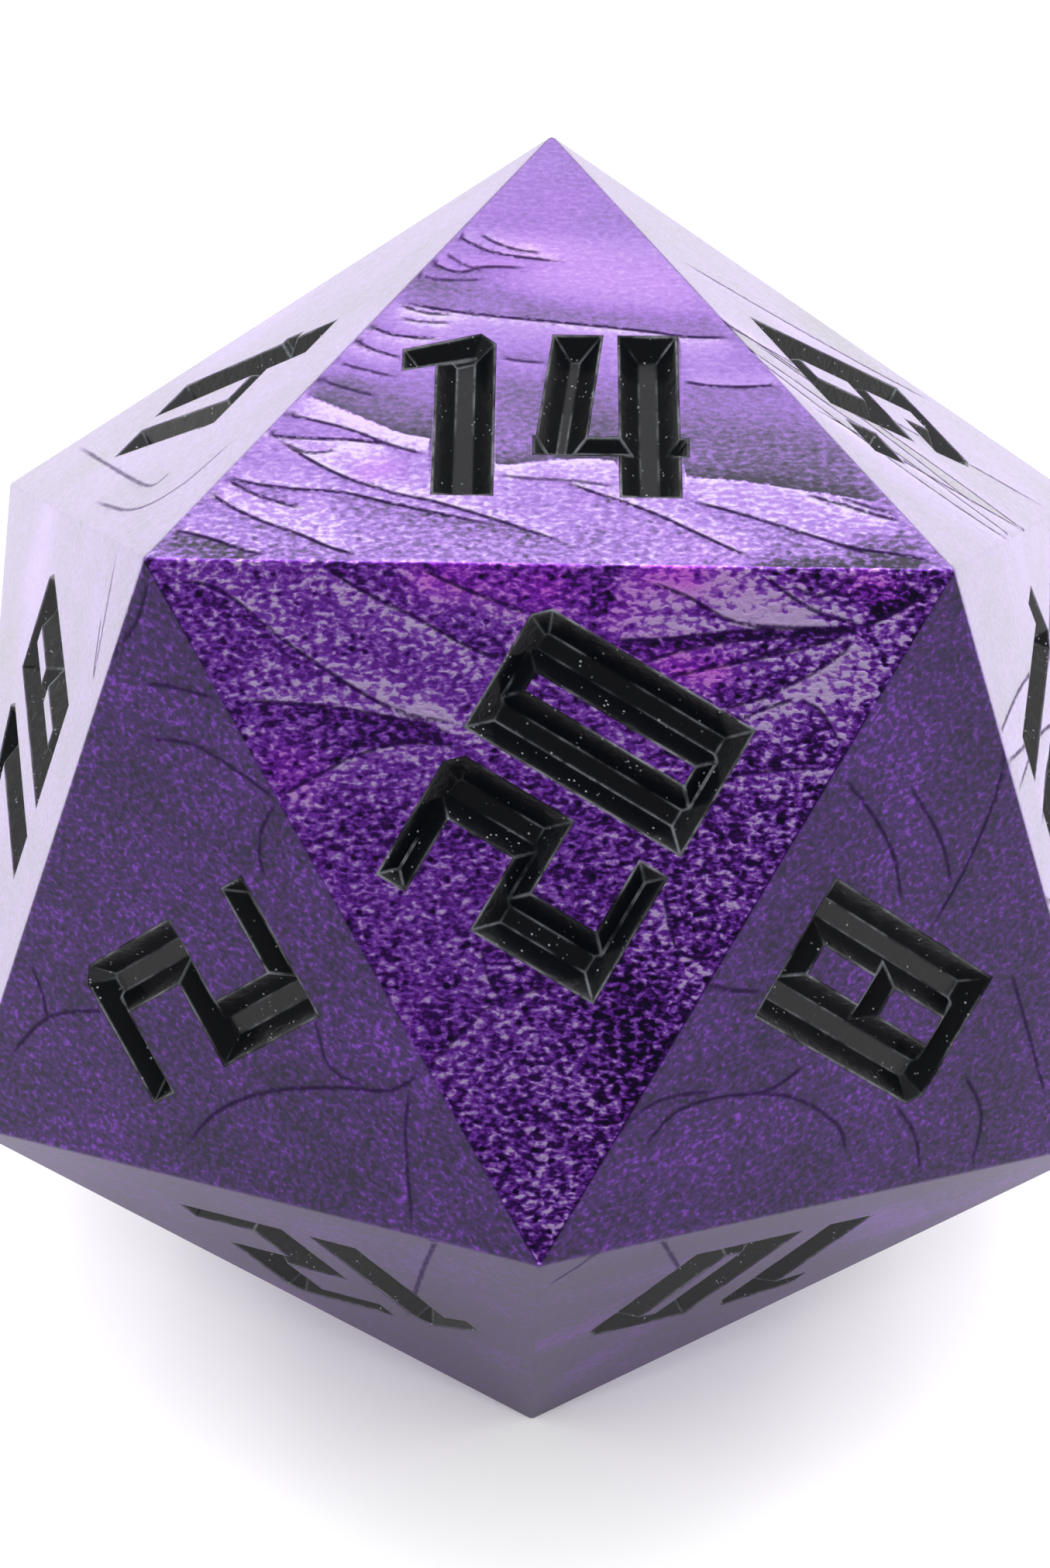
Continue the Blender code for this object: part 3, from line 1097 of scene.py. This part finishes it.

# Its soft sheens: how much more pearl shows, partly the pearl's own lighter and darker patches
# and partly painted highlights, how much pinker it is, and in thousandths of an edge length how
# wide the sheen is and the x and y of both ends of its middle line.
SHEENS: dict[int, tuple[tuple[float, ...], ...]] = {
    14: (
        (0.2, 0.55, 75, 11, 290, 149, 250),
        (-0.06, 0.35, 60, -42, 394, 46, 441),
        (-0.04, 0.6, 35, -151, 275, -75, 288),
        (-0.12, 0.3, 18, -195, 242, -40, 219),
        (-0.14, 0.4, 20, -23, 198, 199, 177),
        (0.14, 0.2, 20, -194, 189, -135, 179),
        (-0.22, 0, 70, 197, -35, 347, -77),
        (-0.24, 0, 70, -47, 17, 56, -27),
        (-0.22, 0, 35, -262, 46, -170, -17),
        (0.1, 0.1, 50, 44, -178, 221, -254),
        (-0.35, 0.5, 20, 394, -246, 449, -250),
        (0.25, 0.2, 25, -257, -83, -213, -113),
        (0.22, 0.2, 25, -301, -187, -278, -222),
        (-0.12, 0.8, 20, -237, -129, -199, -118),
        (-0.3, 0.2, 18, -461, -260, -392, -274),
        (-0.4, 0.4, 14, 264, -285, 447, -281),
    ),
    20: (
        (0.11, 0, 130, -37, 487, 40, 232),
        (0.16, 0.9, 40, 166, 261, 215, 140),
        (0.16, 0.9, 30, 310, 32, 325, -5),
        (0.2, 0.9, 30, 224, -57, 242, -100),
        (0.12, 0.8, 40, -132, 294, -131, 280),
        (0.4, 0.9, 30, 432, -197, 437, -224),
        (0.42, 0, 16, 272, 39, 297, -22),
        (0.5, 0.1, 20, 340, -56, 353, -154),
        (0.3, 0, 12, 228, 43, 335, -149),
        (0.3, 0, 14, 12, 185, 23, 109),
        (0.22, 0, 40, 280, -220, 328, -251),
        (0.03, 0, 40, 210, -179, 215, -251),
        (-0.03, 0, 60, 133, -202, 150, -267),
        (-0.3, 0.3, 20, 394, -122, 437, -269),
        (-0.08, 0.5, 40, 245, 128, 251, 56),
        (-0.28, 0, 60, -178, -222, -223, -272),
        (0.07, 0, 70, -373, -210, -449, -271),
        (0.03, 0, 50, -370, -89, -399, -166),
        (0.09, 0.15, 80, -203, 199, -189, 49),
    ),
    2: (
        (0.04, 0, 100, 335, -208, 231, -276),
        (-0.04, 0, 100, -173, 169, -263, -96),
    ),
    8: (
        (0.05, 0, 80, -303, -231, -240, -115),
    ),
}


@dataclass(frozen=True)
class Tone:
    """How the pearl of one face looks.

    Attributes:
        shine: how much pearl shows, partly the face's own pearl and partly painted light and shade
            for how the face is lit.
        grain: how strong its pebbles are.
        haze: how much a painted reflection of the white walls pales it.
        foot_grain: how much stronger the pebbles are at the numeral's foot.
    """

    shine: float
    grain: float
    haze: float = 0.1
    foot_grain: float = 0.0


# Each face's level is partly its own pearl and partly painted light and shade for how it is lit:
# the level top face lightest, the faces beside and below the 20 darker.
TONES = {
    14: Tone(0.53, 0.18, 0.44, 0.45),
    20: Tone(0.47, 0.80, 0.0, 0.30),
    2: Tone(0.18, 0.36, 0.04),
    8: Tone(0.17, 0.34, 0.04),
    **dict.fromkeys((12, 10), Tone(0.21, 0.14, 0.0)),
    **dict.fromkeys((4, 6, 18, 16), Tone(0.40, 0.18, 0.5)),
}
OTHER_TONE = Tone(0.45, 0.7)
TABLE_UNITS = 1000

# The strength up to which a fold is a hairline, and the one above which it is only a step.
HAIRLINE = 0.2
STEP_ONLY = 0.7
# How dark a fold's line is: the least, and how much darker it gets with the fold's strength.
LINE_LEAST = 0.55
LINE_RISE = 1.2
# How much of its strength shows beside a hairline and beside others, and on their dark side:
# the pearl's own band beside a fold, painted lighter on one side as highlight and darker on the
# other as shade.
HAIRLINE_SHADE = 0.15
FOLD_SHADE = 0.7
DARK_SIDE = 0.4
# How fast a fold sets in from its ends, for its whole length.
TAPER = 10.0


def as_points(values: Sequence[float]) -> list[Point]:
    """The places that a row of the tables holds, in edge lengths."""
    return [(x / TABLE_UNITS, y / TABLE_UNITS) for x, y in zip(values[::2], values[1::2])]


@dataclass(frozen=True)
class Fold:
    """A fold in the pearl of one face.

    Attributes:
        bright: how bright its right side is and how dark its left.
        path: the points of its curve, in metres in the face's frame.
    """

    bright: float
    path: np.ndarray

    @property
    def line(self) -> float:
        """How dark its line is; the strongest are only steps."""
        strength = abs(self.bright)
        return 0.0 if strength > STEP_ONLY else min(1.0, LINE_LEAST + LINE_RISE * strength)

    def shade(self, side: np.ndarray) -> np.ndarray:
        """How much more pearl shows right beside it: hardly any for the faintest folds.

        Args:
            side: 1 for places on its right and -1 for places on its left.

        Returns:
            The change, by place: lighter on one side as painted highlight and darker on the other
                as
            painted shade, over the pearl's own band.
        """
        change = self.bright * side
        if abs(self.bright) <= HAIRLINE:
            return change * HAIRLINE_SHADE
        if abs(self.bright) <= STEP_ONLY:
            change = np.where(change > 0, change, change * DARK_SIDE)
        return change * FOLD_SHADE

    def measure(self, flat: np.ndarray) -> tuple[np.ndarray, np.ndarray, np.ndarray]:
        """Where places are beside the fold.

        Args:
            flat: the places, in metres in the face's frame.

        Returns:
            Their distances, 1 on its right and -1 on its left, and how far they are from its ends,
            from 0 to 1.
        """
        step = np.diff(self.path, axis=0)
        offset = flat[:, None, :] - self.path[None, :-1]
        along = np.clip((offset * step).sum(2) / (step**2).sum(1), 0, 1)
        gap = offset - along[..., None] * step
        distance = np.linalg.norm(gap, axis=2)
        nearest = distance.argmin(1)
        rows = np.arange(len(flat))
        beside, way = gap[rows, nearest], step[nearest]
        side = np.where(way[:, 0] * beside[:, 1] - way[:, 1] * beside[:, 0] > 0, -1.0, 1.0)
        progress = (nearest + along[rows, nearest]) / len(step)
        taper = np.minimum(1.0, TAPER * np.minimum(progress, 1.0 - progress))
        return distance[rows, nearest], side, taper


# Besides the pearl's own pattern, these numbers hold painted light and shade: each face's lit
# level, the sheens' highlights, the shading beside folds and the painted veil.
class Pattern:
    """The pearl's pattern, as numbers for each corner of the casting's mesh.

    Attributes:
        curve_steps: the pieces of a fold between two places that it goes through.
        loose_folds: the folds of a face that the tables leave out.
        loose_sheens: its sheens.
        bank_spacing: of the mesh's corners along a fold, in metres, as the other sizes are.
        bank_rows: how far the rows of those are from the fold; its line fades between them.
        fade: how far from a fold its shade fades.
        foot_reach: how far below a face's middle its foot starts, in edge lengths.
        shape: the die.
        folds: the folds of each face.
        sheens: its sheens.
    """

    curve_steps = 14
    loose_folds = 7
    loose_sheens = 4
    bank_spacing = 0.35 * MM
    bank_rows = (0.05 * MM, 0.16 * MM)
    fade = 0.8 * MM
    foot_reach = 0.25

    def __init__(self, shape: Icosahedron) -> None:
        """Draw the folds and sheens of every face.

        Args:
            shape: the die.
        """
        self.shape = shape
        self.folds: dict[int, list[Fold]] = {}
        self.sheens: dict[int, Sequence[Sheen]] = {}
        for number in sorted(shape.faces):
            if number in CREASES:
                drawn = [(bright, as_points(row)) for bright, *row in CREASES[number]]
            else:
                drawn = self.scatter_folds()
            self.folds[number] = [
                Fold(bright, self.curve(points) * shape.edge) for bright, points in drawn
            ]
            self.sheens[number] = [
                (more, pink, radius / TABLE_UNITS, *as_points(ends))
                for more, pink, radius, *ends in SHEENS.get(number, ())
            ] or self.scatter_sheens()

    def scatter_folds(self) -> list[tuple[float, list[Point]]]:
        """Draw the loose folds of a face: shallow arcs that all lie about the same way."""
        folds = []
        lie = random.uniform(0, math.tau)
        for _ in range(self.loose_folds):
            across = random.uniform(-0.32, 0.32)
            turn = lie + random.uniform(-0.35, 0.35)
            sag = random.uniform(-0.10, 0.10)
            reach = random.uniform(0.18, 0.42)
            cos, sin = math.cos(turn), math.sin(turn)
            points = []
            for along in (-1.0, -0.35, 0.35, 1.0):
                x, y = along * reach, across + sag * along * along
                points.append((x * cos - y * sin, x * sin + y * cos))
            folds.append((random.choice((-1, 1)) * random.uniform(0.2, 0.55), points))
        return folds

    def scatter_sheens(self) -> list[Sheen]:
        """Draw the loose sheens of a face."""
        sheens = []
        for _ in range(self.loose_sheens):
            x, y = random.uniform(-0.25, 0.25), random.uniform(-0.25, 0.3)
            length, turn = random.uniform(0.05, 0.2), random.uniform(0, math.pi)
            end = (x + length * math.cos(turn), y + length * math.sin(turn))
            tone, rose = random.uniform(-0.16, 0.2), random.uniform(-0.1, 0.5)
            sheens.append((tone, rose, random.uniform(0.04, 0.1), (x, y), end))
        return sheens

    def curve(self, points: Sequence[Point]) -> np.ndarray:
        """A smooth curve through points."""
        known = np.array(points, float)
        known = np.vstack((2 * known[0] - known[1], known, 2 * known[-1] - known[-2]))
        found = []
        for a, b, c, d in zip(known, known[1:], known[2:], known[3:]):
            for t in np.linspace(0, 1, self.curve_steps, endpoint=False):
                bend = (2 * a - 5 * b + 4 * c - d) * t**2 + (3 * b - a - 3 * c + d) * t**3
                found.append((2 * b + (c - a) * t + bend) / 2)
        return np.array([*found, known[-2]])

    def banks(self, number: int) -> list[Point]:
        """The corners that a face's mesh needs on both sides of its folds."""
        found = []
        for fold in self.folds[number]:
            step = np.diff(fold.path, axis=0)
            length = np.linalg.norm(step, axis=1)
            walked = np.concatenate(([0.0], np.cumsum(length)))
            for at in np.arange(0.0, walked[-1], self.bank_spacing):
                piece = min(int(np.searchsorted(walked, at, "right")) - 1, len(step) - 1)
                way = step[piece] / length[piece]
                middle = fold.path[piece] + way * (at - walked[piece])
                across = np.array((-way[1], way[0]))
                for row in self.bank_rows:
                    found += [tuple(middle + across * row), tuple(middle - across * row)]
        return found

    def lay(self, mesh: bpy.types.Mesh) -> None:
        """Give a mesh the pattern's numbers.

        Args:
            mesh: the casting's mesh, in the row frame.
        """
        count = len(mesh.vertices)
        places = np.zeros(count * 3, np.float32)
        mesh.vertices.foreach_get("co", places)
        places = places.reshape(-1, 3).astype(float)
        numbers = sorted(self.shape.faces)
        frames = [np.array(self.shape.frame(number)) for number in numbers]
        outward = np.array([frame[:3, 2] for frame in frames])
        nearest = ((places - np.array(self.shape.centre)) @ outward.T).argmax(1)
        layers = {name: np.zeros(count) for name in ("shine", "grain", "rose", "haze", "line")}
        for index, (number, matrix) in enumerate(zip(numbers, frames)):
            here = np.nonzero(nearest == index)[0]
            flat = (places[here] - matrix[:3, 3]) @ matrix[:3, :2]
            for name, values in self.face_layers(number, flat).items():
                layers[name][here] = values
        for name, values in layers.items():
            layer = mesh.attributes.new(name, "FLOAT", "POINT")
            layer.data.foreach_set("value", values.astype(np.float32))

    def face_layers(self, number: int, flat: np.ndarray) -> dict[str, np.ndarray]:
        """The pattern's numbers on one face.

        Args:
            number: the face's number.
            flat: the places, in metres in the face's frame.

        Returns:
            The numbers, by layer.
        """
        tone = TONES.get(number, OTHER_TONE)
        shine = np.full(len(flat), tone.shine)
        rose = np.zeros(len(flat))
        line = np.zeros(len(flat))
        for more, pink, radius, start, end in self.sheens[number]:
            first = np.array(start) * self.shape.edge
            step = np.array(end) * self.shape.edge - first
            along = np.clip((flat - first) @ step / (step @ step), 0, 1)
            gap = np.linalg.norm(flat - first - along[:, None] * step, axis=1)
            soft = np.exp(-((gap / (radius * self.shape.edge)) ** 2))
            # Sheens: partly the pearl's own patches and partly painted highlights.
            shine += more * soft
            rose += pink * soft
        footward = np.clip(-flat[:, 1] / self.shape.edge / self.foot_reach, 0, 1)
        inner, outer = self.bank_rows
        for fold in self.folds[number]:
            distance, side, taper = fold.measure(flat)
            # Painted light and shade beside each fold, over the pearl's own band.
            shine += fold.shade(side) * taper * np.exp(-distance / self.fade)
            dark = np.clip((outer - distance) / (outer - inner), 0, 1)
            line = np.maximum(line, fold.line * taper * dark)
        return {
            "shine": shine,
            "grain": tone.grain + tone.foot_grain * footward,
            "rose": rose,
            "haze": np.full(len(flat), tone.haze),
            "line": line,
        }


@dataclass
class DieCasting:
    """The cast body.

    Attributes:
        shape: the die.
        characters: all that is carved in it.
        depth: of the carving, in metres, as the other sizes are.
        edge_round: how much its edges are rounded.
        margin: the width of the strip inside each face's border.
        bow: how far the inner side of that strip bows out.
        round_steps: how many facets make a rounded edge.
        grid: the spacing of the corners that hold its pattern.
        grid_clear: how far those stay from the strip, as a share of their spacing.
        fold_clear: how far the folds' corners stay from the strip.
        sharp: the least angle of an edge that isn't smoothed, in degrees.
    """

    shape: Icosahedron
    characters: list[Character]
    depth: float = 1.0 * MM
    edge_round: float = 0.12 * MM
    margin: float = 0.25 * MM
    bow: float = 0.02 * MM
    round_steps: int = 4
    grid: float = 0.42 * MM
    grid_clear: float = 0.4
    fold_clear: float = 0.05 * MM
    sharp: float = 30.0

    def __post_init__(self) -> None:
        """Draw the pattern."""
        self.pattern = Pattern(self.shape)

    def build(self) -> bpy.types.Object:
        """Make the casting's object, with the pattern that its finish reads."""
        bm = bmesh.new()
        for place in self.shape.places.values():
            bm.verts.new(place)
        bmesh.ops.convex_hull(bm, input=bm.verts[:])
        bmesh.ops.bevel(
            bm,
            geom=bm.edges[:],
            offset=self.edge_round,
            offset_type="OFFSET",
            segments=self.round_steps,
            profile=0.5,
            affect="EDGES",
        )
        half = self.shape.edge / 2
        flats = [face for face in bm.faces if face.calc_area() > half * half]
        bmesh.ops.delete(bm, geom=flats, context="FACES_ONLY")
        long = [edge for edge in bm.edges if edge.calc_length() > half]
        steps = round(self.shape.edge / self.grid)
        bmesh.ops.subdivide_edges(bm, edges=long, cuts=steps - 1, use_grid_fill=True)
        rim = [vert.co.copy() for vert in bm.verts if vert.is_boundary]
        for number in self.shape.faces:
            self.add_face(bm, number, rim, steps)
        bmesh.ops.remove_doubles(bm, verts=bm.verts[:], dist=WELD)
        self.close_cracks(bm)
        bmesh.ops.recalc_face_normals(bm, faces=bm.faces[:])
        open_edges = sum(1 for edge in bm.edges if len(edge.link_faces) != 2)
        log.info("casting: %d faces, %d open edges", len(bm.faces), open_edges)
        casting = add_object("pearl_casting", bm, PearlResin().material())
        casting.data.shade_smooth()
        casting.data.set_sharp_from_angle(angle=math.radians(self.sharp))
        self.pattern.lay(casting.data)
        return casting

    @staticmethod
    def close_cracks(bm: bmesh.types.BMesh) -> None:
        """Split the open edges that a corner of their neighbours lies on.

        Args:
            bm: the mesh.
        """
        loose = [edge for edge in bm.edges if edge.is_boundary]
        corners = list(dict.fromkeys(vert for edge in loose for vert in edge.verts))
        for edge in loose:
            start, end = edge.verts
            way = end.co - start.co
            for corner in corners:
                along = (corner.co - start.co).dot(way) / way.length_squared
                gap = (corner.co - start.co.lerp(end.co, along)).length
                if corner not in (start, end) and 0 < along < 1 and gap < CRACK:
                    made = bmesh.utils.edge_split(edge, start, along)[1]
                    bmesh.ops.weld_verts(bm, targetmap={made: corner})
                    wide = [face for face in corner.link_faces if len(face.verts) > 3]
                    bmesh.ops.triangulate(bm, faces=wide)
                    break

    def add_face(
        self, bm: bmesh.types.BMesh, number: int, rim: list[Vector], steps: int
    ) -> None:
        """Fill one flat face and its grooves.

        Args:
            bm: the mesh, with the rounded edges in it.
            number: the face's number.
            rim: the open corners of the rounded edges.
            steps: how many pieces each long edge is in.
        """
        place = self.shape.frame(number)
        back = place.inverted()
        flat = [point for point in (back @ co for co in rim) if abs(point.z) < WELD]
        corners = sorted(flat, key=lambda point: -point.xy.length)[:3]
        corners.sort(key=lambda point: math.atan2(point.y, point.x))
        inner = self.add_margin(bm, place, [corner.xy for corner in corners], steps)
        segments = [[start, end] for start, end in zip(inner, inner[1:] + inner[:1])]
        carved = [
            Carving(character.strokes, self.depth)
            for character in self.characters
            if character.number == number
        ]
        for carving in carved:
            segments += carving.outline()
            add_sheet(
                bm,
                carving.creases(),
                carving.inside,
                lambda x, y, carving=carving: -carving.at(x, y),
                True,
                place,
            )
        walls = sides([tuple(corner.xy) for corner in corners])

        def uncut(x: float, y: float) -> bool:
            """Whether a place is outside all the grooves."""
            return not any(carving.inside(x, y) for carving in carved)

        def spare(x: float, y: float, margin: float) -> bool:
            """Whether a corner may be put at a place, that far from the border."""
            return min(level(wall, x, y) for wall in walls) > margin and uncut(x, y)

        far, near = self.margin + self.grid_clear * self.grid, self.margin + self.fold_clear
        points = [point for point in self.grid_points() if spare(*point, far)]
        points += [point for point in self.pattern.banks(number) if spare(*point, near)]
        add_sheet(bm, segments, uncut, lambda x, y: 0.0, True, place, points)

    def add_margin(
        self, bm: bmesh.types.BMesh, place: Matrix, corners: list[Vector], steps: int
    ) -> list[Vector]:
        """Lay the strip of quads that joins a face's middle to the rounded edges.

        Args:
            bm: the mesh.
            place: from the face's frame to the mesh's.
            corners: the face's corners, in its frame.
            steps: how many pieces each side is in.

        Returns:
            The strip's inner border, which bows out a little so that none of it is straight.
        """
        outer, inner = [], []
        reach = corners[0].length / 2
        for start, end in zip(corners, corners[1:] + corners[:1]):
            out = (start + end).normalized()
            for step in range(steps):
                along = step / steps
                point = start.lerp(end, along)
                outer.append(point)
                bow = 4 * along * (1 - along) * self.bow
                inner.append(point * (1 - self.margin / reach) + out * bow)
        rows = [
            [bm.verts.new(place @ point.to_3d()) for point in border] for border in (outer, inner)
        ]
        for index in range(len(outer)):
            after = (index + 1) % len(outer)
            bm.faces.new((rows[0][index], rows[0][after], rows[1][after], rows[1][index]))
        return inner

    def grid_points(self) -> list[Point]:
        """The corners of a triangular grid over a face."""
        row = self.grid * math.sqrt(3) / 2
        reach = self.shape.edge / math.sqrt(3)
        count = int(reach / row) + 1
        return [
            ((column + (line % 2) / 2) * self.grid, line * row)
            for line in range(-count, count + 1)
            for column in range(-count - 1, count + 2)
        ]


@dataclass
class PaintCoat:
    """The black paint that lines the numerals.

    Attributes:
        shape: the die.
        depth: of the grooves, in metres, as the other sizes are.
        gap: between the groove and the paint.
        thickness: of the paint.
        rim: how far below the face the paint starts.
    """

    shape: Icosahedron
    depth: float = 1.0 * MM
    gap: float = 0.008 * MM
    thickness: float = 0.05 * MM
    rim: float = 0.012 * MM

    def __post_init__(self) -> None:
        """Mix the paint."""
        self.finish = BlackPaint().material()

    def build(self, character: Character) -> bpy.types.Object:
        """Make the paint in one character.

        Args:
            character: the digit or mark.

        Returns:
            Its object.
        """
        under = Carving(character.strokes, self.depth, self.rim, self.gap)
        over = Carving(character.strokes, self.depth, self.rim, self.gap + self.thickness)
        place = self.shape.frame(character.number)
        bm = bmesh.new()
        add_sheet(
            bm, under.creases(), under.inside, lambda x, y: -under.at(x, y), False, place
        )
        top = under.outline() + over.creases()
        add_sheet(bm, top, under.inside, lambda x, y: -over.at(x, y), True, place)
        bmesh.ops.remove_doubles(bm, verts=bm.verts[:], dist=WELD)
        bmesh.ops.dissolve_limit(bm, angle_limit=FLAT, verts=bm.verts[:], edges=bm.edges[:])
        bmesh.ops.recalc_face_normals(bm, faces=bm.faces[:])
        return add_object(character.node.replace("paint", "black_fill"), bm, self.finish)


# Studio


@dataclass(frozen=True)
class SoftLight:
    """A square softbox that points at the die.

    Attributes:
        name: its name.
        place: where it hangs, in metres.
        size: its side, in metres.
        power: in watts.
        tint: its colour.
    """

    name: str
    place: tuple[float, float, float]
    size: float
    power: float
    tint: Colour = (1.0, 1.0, 1.0)

    def build(self, target: Vector) -> None:
        """Hang the light."""
        data = bpy.data.lights.new(self.name, "AREA")
        data.size = self.size
        data.energy = self.power
        data.color = self.tint
        lamp = bpy.data.objects.new(self.name, data)
        lamp.location = self.place
        lamp.rotation_euler = (target - lamp.location).to_track_quat("-Z", "Y").to_euler()
        bpy.context.scene.collection.objects.link(lamp)


@dataclass
class Studio:
    """The white table, the lights and the camera.

    Attributes:
        table_size: the table's side, in metres.
        camera_place: where the camera is, in metres.
        camera_turn: how it is turned, in degrees.
        lens: its focal length, in millimetres.
        sensor: its sensor's width, in millimetres.
        clip: the nearest and farthest that it sees, in metres.
        walls: where the walls start and end to brighten, and how bright they are at both.
        fill: the same for the light that matt surfaces get, from low down upwards.
        held_back: how much less of it there is after a reflection.
    """

    table_size: float = 6.0
    camera_place: tuple[float, float, float] = (-0.0013138, -0.1194151, 0.1601769)
    camera_turn: tuple[float, float, float] = (42.24863, -0.65365, 0.51406)
    lens: float = 77.277
    sensor: float = 36.0
    clip: tuple[float, float] = (0.01, 20.0)
    walls: tuple[float, float, float, float] = (-0.8, 0.6, 0.14, 1.0)
    fill: tuple[float, float, float, float] = (0.1, 0.85, 0.1, 3.1)
    held_back: float = 0.38

    def build(self, target: Vector) -> None:
        """Set up the studio round a target."""
        self.lay_table()
        self.set_sky()
        for light in (
            SoftLight("back_softbox", (0.0, 0.75, 0.75), 0.7, 1.0),
            SoftLight("left_softbox", (-0.52, 0.64, 0.53), 0.25, 1.4),
            SoftLight("right_softbox", (0.52, 0.64, 0.53), 0.25, 1.4),
            SoftLight("top_softbox", (0.0, 0.1, 0.9), 0.35, 2.2),
        ):
            light.build(target)
        self.set_camera()
        bpy.context.scene.view_settings.view_transform = "Standard"

    def lay_table(self) -> None:
        """Lay the table's top just under the die."""
        bm = bmesh.new()
        bmesh.ops.create_grid(bm, x_segments=8, y_segments=8, size=self.table_size / 2)
        add_object("table_top", bm, TableTop().material())

    def set_sky(self) -> None:
        """White walls: darker on the camera's side in reflections, darker low down for fill."""
        graph = Graph.of_world("studio")
        split = {"Vector": graph.add("ShaderNodeTexCoord", None, None, "Generated")}
        across = graph.add("ShaderNodeSeparateXYZ", None, split, "Y")
        up = graph.add("ShaderNodeSeparateXYZ", None, split, "Z")
        low, high, dark, light = self.walls
        strength = across.smooth(low, high) * (light - dark) + dark
        low, high, dark, light = self.fill
        mirrored = graph.add("ShaderNodeLightPath", None, None, "Glossy Depth").clamped()
        fill = up.smooth(low, high) * (light - dark) + dark
        fill = fill * (1 - mirrored * self.held_back)
        diffuse = graph.add("ShaderNodeLightPath", None, None, "Is Diffuse Ray")
        seen = graph.add("ShaderNodeLightPath", None, None, "Is Camera Ray")
        strength = strength * (1 - diffuse) * (1 - seen) + fill * diffuse + seen
        background = graph.add("ShaderNodeBackground", None, {"Strength": strength})
        graph.node("ShaderNodeOutputWorld", None, {"Surface": background})

    def set_camera(self) -> None:
        """Place the camera."""
        data = bpy.data.cameras.new("camera")
        data.lens = self.lens
        data.sensor_width = self.sensor
        data.clip_start, data.clip_end = self.clip
        camera = bpy.data.objects.new("camera", data)
        camera.location = self.camera_place
        camera.rotation_euler = [math.radians(turn) for turn in self.camera_turn]
        bpy.context.scene.collection.objects.link(camera)
        bpy.context.scene.camera = camera


def main() -> None:
    """Build the die and its studio."""
    logging.basicConfig(level=logging.INFO)
    random.seed(20)
    low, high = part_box("die_body")
    shape = Icosahedron(high.z - low.z)
    layout = Numerals(shape)
    characters = [
        character for number in sorted(shape.faces) for character in layout.characters(number)
    ]
    casting = DieCasting(shape, characters).build()
    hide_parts("die_body")
    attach(casting, "root")
    log.info("%s stands for die_body", casting.name)
    coat = PaintCoat(shape)
    for character in characters:
        fill = coat.build(character)
        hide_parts(character.node)
        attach(fill, "root")
        log.info("%s stands for %s", fill.name, character.node)
    Studio().build(shape.centre)


if __name__ == "__main__":
    main()
